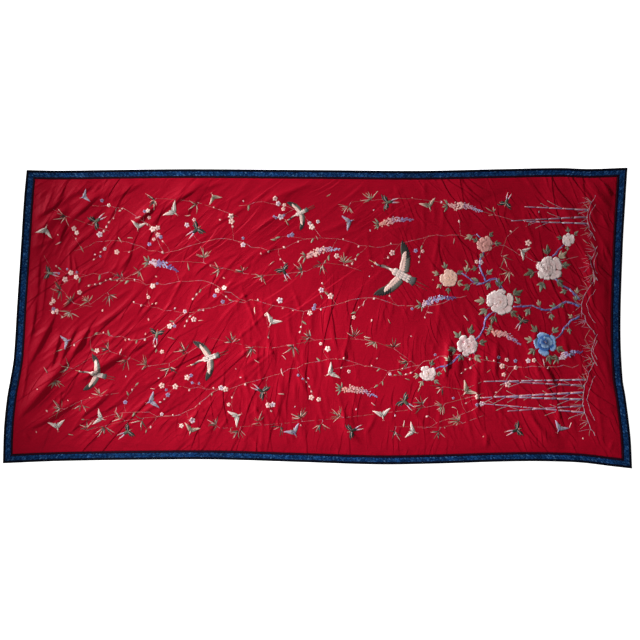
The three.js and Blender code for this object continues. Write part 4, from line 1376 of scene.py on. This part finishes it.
def parts_of(work, x, y, heading, size):
    """What sews the parts of one bird or butterfly, with their places and sizes as shares of its size."""

    def part(shape, place, turn, length, width, *dyes, **form):
        """One patch. Its place is how far it starts ahead of the middle, and how far to the left."""
        start = ahead(*ahead(x, y, heading, place[0] * size), heading + 90, place[1] * size)
        work.add(shape, *start, heading + turn, length * size, width * size, *dyes, **form)

    return part


def feather_row(part, begin, end, side, row, dyes, lift):
    """A fan of feathers along the line between two places on a wing, turned outwards to one side."""
    for share in np.linspace(0, 1, row["count"]):
        place = [first + share * (last - first) for first, last in zip(begin, end)]
        turn = side * (row["first"] + row["spread"] * share)
        length = row["lengths"][0] + share * (row["lengths"][1] - row["lengths"][0])
        form = {"bend": side * 12, "lift": lift + 0.1 * share}
        part("feather", place, turn, length, row["width"], *dyes, **form)


def crane(work, x, y, heading, size):
    """One crane in flight, seen from above: size is its length from beak to tail."""
    part = parts_of(work, x, y, heading, size)
    for side in (-1, 1):
        leg = {"bend": side * 8, "lift": 0.3}
        part("stem", (-0.16, side * 0.012), 180 - side * 3, 0.36, CRANE_LEG / size, "brown", "moss", **leg)
        shoulder, elbow, wrist = (0.02, side * 0.045), (0.07, side * 0.15), (0.09, side * 0.27)
        feather_row(part, wrist, elbow, side, PRIMARIES, ("moss", "black"), 0.4)
        feather_row(part, elbow, shoulder, side, SECONDARIES, ("grey", "moss"), 0.6)
        feather_row(part, wrist, shoulder, side, COVERTS, ("ivory", "cream"), 1.0)
        part("feather", shoulder, side * 76, 0.24, 0.045, "ivory", "cream", lift=1.5)
    for i in range(-3, 4):
        part("feather", (-0.13, 0), 180 + 8 * i, 0.17, 0.045, "grey", "black")
    part("leaf", (-0.21, 0), 0, 0.42, 0.13, "grey", "ivory", lift=1.3)
    for i in range(5):
        for side in (-1, 0, 1):
            place = (0.12 - 0.06 * i, side * 0.03)
            part("feather", place, 180 - side * 14, 0.08, 0.045, "ivory", "pale_grey", lift=1.9 - 0.12 * i)
    nape = ahead(x, y, heading, 0.17 * size)
    work.add("stem", *nape, heading + 9, 0.17 * size, 0.05 * size, "ivory", "black", bend=22, lift=0.9)
    throat = ahead(*nape, heading + 9, 0.165 * size)
    form = {"bend": -20, "lift": 0.9}
    work.add("stem", *throat, heading + 4, 0.09 * size, 0.034 * size, "black", "pale_grey", **form)
    head_part = parts_of(work, *ahead(*throat, heading + 2, 0.085 * size), heading, size)
    head_part("round", (-0.01, 0), 0, 0.05, 0.042, "ivory", "ivory", lift=1.0)
    head_part("knot", (0.012, 0), 0, 0.026, 0.026, "coral", "amber", lift=1.6)
    head_part("blade", (0.035, 0), 0, 0.1, 0.016, "amber", "beige", lift=0.6)


cranes = Needlework()
for x, y, heading, size in CRANES:
    for forward, reach in ((0.34, 0.09), (0, 0.3), (-0.32, 0.1)):
        taken.append((*ahead(x, y, heading, forward * size), reach * size))
    crane(cranes, x, y, heading, size)
cranes.sew("cranes")

# Wisteria hangs among them: long racemes of small round florets, coral and rose at the stalk and lilac at the
# tip, with feathery leaves on a thin vine.
RACEMES = [
    (700, 600, 350, 180, "rose"),
    (330, 500, 8, 180, "coral"),
    (930, -70, 335, 170, "coral"),
    (560, 70, 12, 180, "lilac"),
    (1290, -215, 15, 130, "lilac"),
    (130, -380, 348, 190, "coral"),
    (-60, 330, 12, 180, "rose"),
    (-900, 300, 342, 160, "lilac"),
]
RACEME_DYES = {
    "coral": [("coral", "shell"), ("rose", "shell"), ("rose", "lilac"), ("violet", "lilac")],
    "rose": [("rose", "shell"), ("shell", "ivory"), ("rose", "lilac"), ("lilac", "pale_blue")],
    "lilac": [("lilac", "ivory"), ("violet", "lilac"), ("lilac", "pale_blue"), ("plum", "violet")],
}
FLORET_STEP = 6
FLORET_BREADTH = 0.72
RACEME_WIDTH = 42
RACEME_LEAVES = 5
wisteria = Needlework()
for x, y, heading, length, dye in RACEMES:
    middle, tip = ahead(x, y, heading + 9, length / 2), ahead(x, y, heading, length)
    spine = smooth_route([(x, y), middle, tip], FLORET_STEP)
    stem_along(wisteria, spine[[0, len(spine) // 2, -1]], (3.5, 1.5), [("olive", "violet")], lift=0.1)
    taken.extend((*spot, RACEME_WIDTH * 0.5) for spot in spine[::3])
    for i, (spot_x, spot_y) in enumerate(spine):
        share = i / (len(spine) - 1)
        width = RACEME_WIDTH * min(1, 3 * share + 0.3) * (1 - share) ** 0.6
        stage = int(share * 4 + chance.uniform(-0.4, 0.6)) if share > 0.1 else 0
        dyes = RACEME_DYES[dye][min(3, stage)]
        for _ in range(2 + int(width / 10)):
            spot = ahead(spot_x, spot_y, heading + 90, chance.uniform(-0.5, 0.5) * width)
            size = chance.uniform(10, 15) * (1 - 0.45 * share)
            turned = heading + chance.normal(0, 40)
            lift = 0.3 + chance.uniform(0, 0.9)
            wisteria.add("round", *spot, turned, size, size * FLORET_BREADTH, *dyes, lift=lift)
    for i in range(RACEME_LEAVES):
        turned = heading + 116 + 32 * i + chance.normal(0, 8)
        leaf = chance.uniform(24, 42)
        bend = chance.normal(0, 16)
        start = ahead(x, y, turned, 4)
        wisteria.add("leaf", *start, turned, leaf, leaf * 0.28, "moss", "sage", bend=bend)
wisteria.sew("wisteria")

# Two clumps of bamboo canes stand on low grassy banks at the right-hand end. Each cane is two rows of satin
# stitch in joints with a raised node between them: a pale row along its upper side as a painted highlight,
# and a dark row along its lower side as painted shade. Couched floss outlines the banks.
CANES = [
    (1428, -330, 181, 520, 9),
    (1422, -362, 177, 450, 10),
    (1418, -398, 183, 560, 11),
    (1416, -436, 178, 480, 11),
    (1418, -470, 184, 400, 9),
    (1424, -505, 175, 540, 8),
    (1440, 505, 178, 360, 8),
    (1438, 540, 183, 420, 10),
    (1442, 578, 177, 330, 8),
]
CANE_JOINT = 68
CANE_GAP = 5
CANE_NODE = 4.5
SHOOT_SHARE = 0.45
CANE_DYES_WITH_PAINTED_SHADE = [("lilac", "pale_grey", "plum"), ("dusk", "lilac", "plum"), ("lilac", "shell", "violet")]
canes = Needlework()
for number, (x, y, heading, length, width) in enumerate(CANES):
    pale, light, dark = CANE_DYES_WITH_PAINTED_SHADE[number % len(CANE_DYES_WITH_PAINTED_SHADE)]
    joints = round(length / CANE_JOINT)
    for i in range(joints):
        start = ahead(x, y, heading, i * CANE_JOINT)
        size = width * (1 - 0.45 * i / joints)
        upper, lower = ahead(*start, heading - 90, size * 0.24), ahead(*start, heading + 90, size * 0.24)
        # The upper row runs pale to a lighter tip as a painted highlight, and the lower row is dark as
        # painted shade.
        canes.add("stem", *upper, heading, CANE_JOINT - CANE_GAP, size * 0.55, pale, light, lift=0.4)
        canes.add("stem", *lower, heading, CANE_JOINT - CANE_GAP, size * 0.55, dark, pale, lift=0.3)
        node = ahead(*start, heading + 90, size * 0.6)
        node = ahead(*node, heading, -3)
        canes.add("knot", *node, heading - 90, size * 1.2, CANE_NODE, "ivory", "lilac", lift=0.7)
        taken.append((*ahead(*start, heading, CANE_JOINT / 2), 16))
        if chance.random() < SHOOT_SHARE:
            side = chance.choice([-1, 1])
            shoot = ahead(*start, heading + side * 90, size / 2)
            length = chance.uniform(40, 90)
            canes.add("stem", *shoot, heading + side * 24, length, 2.4, "lilac", "sage", bend=side * 10)

# Each bank: x of its foot, y of its middle, half its length, and how far it bulges.
BANKS = [
    (1484, -430, 200, 66),
    (1496, -172, 84, 30),
    (1486, 62, 150, 72),
    (1496, 292, 92, 34),
    (1486, 535, 120, 46),
]
BANK_DYES = [("lilac", "pale_grey"), ("dusk", "lilac")]
GRASS_DYES = [("lilac", "shell"), ("sage", "pale_grey"), ("dusk", "lilac"), ("olive", "shell")]
for foot, middle, half, bulge in BANKS:
    for share, width in ((1, 3.4), (0.6, 2.2)):
        turns = np.linspace(-1, 1, 7)
        depths = share * bulge * np.cos(turns * math.pi / 2)
        outline = np.column_stack([foot - depths, middle + share * half * turns])
        stops = stem_along(canes, outline, (width, width * 0.7), BANK_DYES, run=22, crook=2.5)
        for i, (x, y, heading) in enumerate(stops[1:-1]):
            taken.append((x, y, 10))
            if i % 2 or share < 1:
                continue
            tuft = heading + 90 + chance.normal(0, 12)
            for turned in tuft + np.linspace(-34, 34, chance.integers(2, 6)):
                reach = chance.uniform(30, 76)
                dyes = one_of(GRASS_DYES)
                bend = chance.normal(0, 24)
                canes.add("blade", x, y, turned, reach, 2.2, *dyes, bend=bend, lift=0.3, crown=0.5)
canes.sew("bamboo_canes_and_grass")

# Butterflies and swallows fill the open ground between the branches. A butterfly has narrow cream or lilac
# wings with dark veins, and a swallow is dark green with black wings and a long lilac tail.
BUTTERFLIES = [
    (-1450, 480, 250, 84, "cream"),
    (-1255, 645, 20, 66, "blue"),
    (-760, 560, 140, 92, "cream"),
    (-560, 655, 300, 70, "sage"),
    (-250, -30, 60, 88, "cream"),
    (180, 520, 200, 78, "blue"),
    (600, 590, 110, 82, "sage"),
    (1090, 360, 330, 74, "cream"),
    (350, -530, 100, 86, "cream"),
    (790, -400, 45, 94, "sage"),
    (520, -610, 160, 80, "cream"),
    (60, -300, 30, 90, "cream"),
    (-120, -620, 120, 84, "blue"),
    (-420, -520, 210, 88, "cream"),
    (-680, -610, 70, 78, "sage"),
    (-900, -450, 20, 86, "blue"),
    (-1150, -540, 160, 80, "cream"),
    (-1390, -590, 100, 82, "cream"),
    (-1330, -120, 200, 70, "blue"),
    (1290, -600, 60, 78, "blue"),
    (-960, 480, 80, 74, "cream"),
]
WING_DYES = {
    "cream": ("pale_grey", "ivory", "moss"),
    "blue": ("grey", "lilac", "plum"),
    "sage": ("olive", "cream", "moss"),
}
SWALLOWS = [
    (-1180, 520, 215, 88),
    (-650, 470, 40, 92),
    (-180, 250, 120, 84),
    (380, 620, 190, 90),
    (1010, 620, 250, 80),
    (1090, -20, 60, 74),
    (470, -450, 140, 92),
    (190, -600, 200, 86),
    (-300, -390, 330, 88),
    (-860, -90, 80, 84),
    (-1430, 240, 170, 78),
    (-1020, -610, 30, 84),
    (1060, -600, 20, 86),
]
BREAST_DYES = [("moss", "sage"), ("pine", "olive"), ("black", "moss")]
FEELER = 1.3


def butterfly(work, x, y, heading, size, dyes):
    """One butterfly from above: two long pointed wings in a V, with short dark hind wings inside it."""
    root, rim, vein = dyes
    part = parts_of(work, x, y, heading, size)
    for side in (-1, 1):
        part("leaf", (0, 0), side * 20, 0.42, 0.17, vein, root, bend=side * 24, lift=0.4)
        part("leaf", (0, 0), side * 50, 0.76, 0.22, root, rim, bend=side * 34, lift=0.8, crown=0.8)
        edge, bend = ahead(0, 0, side * 42, 0.06), side * 32
        part("blade", edge, side * 46, 0.56, 0.06, vein, root, bend=bend, lift=1.6, crown=0.4)
        feeler, bend = 180 + side * 22, side * 30
        part("stem", (-0.1, 0), feeler, 0.16, FEELER / size, "rose", "shell", bend=bend, lift=0.2, crown=0.4)
    part("leaf", (-0.14, 0), 0, 0.34, 0.1, rim, vein, lift=1.8, crown=0.8)


def swallow(work, x, y, heading, size):
    """One swallow from above, dark green, with pointed wings and a long forked tail."""
    part = parts_of(work, x, y, heading, size)
    breast = one_of(BREAST_DYES)
    for side in (-1, 1):
        rump, shoulder = (-0.12, side * 0.03), (0.08, side * 0.05)
        part("blade", rump, 180 - side * 9, 0.58, 0.1, "lilac", "shell", bend=side * 18, lift=0.3)
        for turn, length in ((62, 0.56), (80, 0.44), (98, 0.32)):
            part("blade", shoulder, side * turn, length, 0.15, "black", "pine", bend=side * 52, lift=0.7)
        part("blade", shoulder, side * 70, 0.42, 0.05, "grey", "shell", bend=side * 44, lift=1.4)
    part("leaf", (-0.26, 0), 0, 0.52, 0.2, *breast, lift=1.0)
    part("round", (0.17, 0), 0, 0.14, 0.12, "coral", "black", lift=1.4)
    part("blade", (0.29, 0), 0, 0.1, 0.03, "amber", "beige", lift=0.8)


flyers = Needlework()
for x, y, heading, size, kind in BUTTERFLIES:
    taken.append((x, y, size * 0.5))
    butterfly(flyers, x, y, heading, size, WING_DYES[kind])
for x, y, heading, size in SWALLOWS:
    taken.append((x, y, size * 0.45))
    swallow(flyers, x, y, heading, size)
flyers.sew("butterflies_and_swallows")

# Plum branches run the whole length of the panel in couched lilac and pink silk. They carry blossoms of five
# white or lilac petals with knotted stamens, round buds and a few small leaves.
PLUM_BRANCHES = [
    [(1398, 330), (1180, 300), (940, 400), (640, 440), (330, 380), (20, 430), (-260, 360)],
    [(800, 120), (520, 60), (240, 110), (-60, 40), (-380, 90), (-700, 30), (-980, 80)],
    [(-260, 360), (-540, 420), (-820, 350), (-1080, 420), (-1300, 360)],
    [
        (1400, -250), (1060, -260), (720, -200), (400, -280), (90, -220), (-220, -300), (-520, -380),
        (-800, -360),
    ],
    [(-380, 90), (-620, 200), (-900, 180), (-1150, 240), (-1400, 170)],
    [(-700, 30), (-930, -110), (-1180, -90), (-1410, -190)],
    [(20, 430), (-90, 560), (-280, 620), (-420, 600)],
    [(-820, 350), (-900, 500), (-1060, 590), (-1200, 600)],
    [(-520, -380), (-760, -520), (-1020, -500), (-1260, -590)],
    [(1060, -260), (930, -430), (760, -520), (560, -590)],
]
BRANCH_DYES = [("dusk", "rose"), ("rose", "dusk"), ("lilac", "dusk"), ("dusk", "shell")]
TWIG_SPACING = 4
TWIG_LENGTHS = (55, 190)
BLOSSOM_DYES = [
    ("shell", "ivory"), ("rose", "ivory"), ("ivory", "ivory"), ("shell", "ivory"), ("lilac", "ivory"),
    ("violet", "lilac"), ("plum", "lilac"),
]
EYE_DYES = [("sage", "amber"), ("rose", "amber"), ("olive", "sage")]
CLUSTER_SIZES = (1, 4)
CLUSTER_REACH = 44
CLUSTER_SHARE = 0.42
BUD_SHARE = 0.42
LILAC_SIZE = 0.72
TWIG_DYES = [("rose", "dusk"), ("dusk", "rose")]


def blossom(work, x, y, size, dyes):
    """A blossom of five round petals, with a knotted eye and five stamens."""
    turn = chance.uniform(0, 72)
    eye = one_of(EYE_DYES)
    for i in range(5):
        heading = turn + 72 * i + chance.normal(0, 4)
        start, lift = ahead(x, y, heading, size * 0.04), 0.4 + 0.08 * (i % 2)
        work.add("round", *start, heading, size * 0.46, size * 0.42, *dyes, lift=lift, crown=0.9)
    stamen, knot = size * 0.07, size * 0.16
    for i in range(5):
        heading = turn + 36 + 72 * i
        spot = ahead(x, y, heading, size * 0.13)
        work.add("knot", *spot, heading, stamen, stamen, *eye, lift=1.3, crown=0.5)
    work.add("knot", *ahead(x, y, 0, -knot / 2), 0, knot, knot, *eye, lift=1.4, crown=0.7)


def bud(work, x, y, heading, size):
    """A closed bud in a small dark cup."""
    work.add("round", x, y, heading, size, size * 0.8, "rose", "ivory", lift=0.5)
    cup = ahead(x, y, heading, -size * 0.2)
    work.add("knot", *cup, heading, size * 0.4, size * 0.5, "olive", "rose", lift=0.8)


def bloom_at(work, x, y, heading):
    """What grows at one place of a twig: a cluster of blossoms, a bud or a leaf, if there is room."""
    if not on_ground(x, y):
        return
    kind = chance.random()
    if kind < CLUSTER_SHARE:
        for _ in range(chance.integers(*CLUSTER_SIZES)):
            size = chance.uniform(19, 36)
            dyes = one_of(BLOSSOM_DYES)
            size *= LILAC_SIZE if dyes[1] == "lilac" else 1
            spot = ahead(x, y, chance.uniform(0, 360), chance.uniform(0, CLUSTER_REACH))
            if has_room(*spot, size * 0.36):
                blossom(work, *spot, size, dyes)
    elif kind < CLUSTER_SHARE + BUD_SHARE:
        if has_room(*ahead(x, y, heading, 8), 5):
            bud(work, x, y, heading, chance.uniform(9, 15))
    else:
        size = chance.uniform(18, 34)
        if has_room(*ahead(x, y, heading, size / 2), size * 0.3):
            work.add("leaf", x, y, heading, size, size * 0.36, "olive", "sage", bend=chance.normal(0, 20))


plum = Needlework()
for points in PLUM_BRANCHES:
    stops = stem_along(plum, points, (3.4, 1.5), BRANCH_DYES, run=42, crook=4.5, lift=0.1)
    for i, (x, y, heading) in enumerate(stops):
        if i % TWIG_SPACING == 0 and i > 1:
            side = chance.choice([-1, 1])
            twig_heading = heading + side * chance.uniform(28, 78)
            twig = wandering(x, y, twig_heading, chance.uniform(*TWIG_LENGTHS), 15)
            if on_ground(*twig[-1]):
                joints = stem_along(plum, twig, (1.7, 1.0), TWIG_DYES, run=30, lift=0.1)
                for joint_x, joint_y, joint_heading in joints[1:]:
                    bloom_at(plum, joint_x, joint_y, joint_heading + chance.normal(0, 30))
        elif chance.random() < 0.3:
            bloom_at(plum, x, y, heading + chance.choice([-60, 60]))
plum.sew("plum_branches")

# Thin bamboo shoots lean out from the canes and cross the whole ground. At their nodes stand sprays of
# slender pointed leaves in beige, grey-olive and dark olive, some with a pale pink tip.
BAMBOO_SHOOTS = [
    [(900, -400), (620, -470), (250, -520), (-150, -560), (-520, -590)],
    [(880, -340), (700, -380), (380, -150), (60, -110), (-260, -160), (-560, -110)],
    [(890, -520), (700, -580), (420, -580)],
    [(1060, 520), (760, 600), (480, 640), (180, 620)],
    [(-60, 250), (-340, 230), (-650, 300), (-930, 270), (-1240, 60), (-1430, 40)],
    [(-420, 540), (-650, 620), (-860, 640)],
    [(-600, -130), (-860, -260), (-1120, -180), (-1400, -330)],
    [(-720, -520), (-980, -540), (-1230, -600)],
    [(-1100, 460), (-1330, 540), (-1450, 600)],
    [(-1060, -400), (-1260, -440), (-1440, -540)],
    [(240, 250), (60, 300), (-60, 250)],
    [(1090, 500), (1010, 430), (980, 330), (1030, 250)],
    [(-1200, 60), (-1330, 100), (-1460, 330)],
]
DARK_LEAVES = [
    ("moss", "brown"), ("olive", "beige"), ("black", "moss"), ("brown", "olive"), ("black", "olive")
]
PALE_LEAVES = [
    ("beige", "shell"), ("grey", "cream"), ("olive", "shell"), ("brown", "ivory"), ("beige", "ivory")
]
SHOOT_DYES = [("dusk", "rose"), ("olive", "dusk")]
SPRAY_SPACING = 114
SPRAY_FAN = 165


def bamboo_spray(work, x, y, heading, count):
    """Slender leaves that fan out from one node."""
    dark = one_of(DARK_LEAVES)
    pale = one_of(PALE_LEAVES)
    for i in range(count):
        turned = heading + SPRAY_FAN * ((i + 0.5) / count - 0.5) + chance.normal(0, 12)
        length = chance.uniform(20, 60)
        width = chance.uniform(3.6, 6.4)
        dyes = pale if i % 3 == 1 else dark
        start = ahead(x, y, turned + chance.normal(0, 40), chance.uniform(0, 12))
        form = {"bend": chance.normal(0, 14), "lift": 0.3 + 0.15 * (i % 3)}
        work.add("blade", *start, turned, length, width, *dyes, **form)


bamboo = Needlework()
for points in BAMBOO_SHOOTS:
    stops = stem_along(bamboo, points, (2.4, 1.2), SHOOT_DYES, run=SPRAY_SPACING, lift=0.1)
    for i, (x, y, heading) in enumerate(stops):
        side = 1 if i % 2 else -1
        spray_heading = heading + side * chance.uniform(25, 80)
        spot = ahead(x, y, spray_heading, chance.uniform(4, 30))
        centre = ahead(*spot, spray_heading, 20)
        if on_ground(*centre) and has_room(*centre, 24):
            stalk = math.dist((x, y), spot)
            bamboo.add("stem", x, y, spray_heading, stalk, 2.2, "lilac", "olive", lift=0.1, crown=0.4)
            bamboo_spray(bamboo, *spot, spray_heading, chance.integers(5, 12))
bamboo.sew("bamboo_sprays")

# Loose petals and single leaves drift over what is left of the ground. Each one is a small patch of
# satin stitch, in two dyes from root to tip.
DRIFT_COUNT = 150
PETAL_SHARE = 0.55
PETAL_DYES = [
    ("shell", "ivory"), ("rose", "shell"), ("lilac", "ivory"), ("coral", "shell"), ("sage", "ivory")
]
LOOSE_LEAF_DYES = [("olive", "beige"), ("rose", "ivory"), ("brown", "shell"), ("beige", "ivory")]
drifting = Needlework()
for _ in range(DRIFT_COUNT):
    x, y = chance.uniform(-1520, 1480), chance.uniform(-660, 680)
    turned = chance.uniform(0, 360)
    if not on_ground(x, y) or not has_room(x, y, 13):
        continue
    if chance.random() < PETAL_SHARE:
        size = chance.uniform(9, 16)
        dyes = one_of(PETAL_DYES)
        drifting.add("petal", x, y, turned, size, size * 0.62, *dyes)
    else:
        size = chance.uniform(24, 44)
        dyes = one_of(LOOSE_LEAF_DYES)
        drifting.add("blade", x, y, turned, size, size * 0.17, *dyes, bend=chance.normal(0, 20))
drifting.sew("drifting_petals")
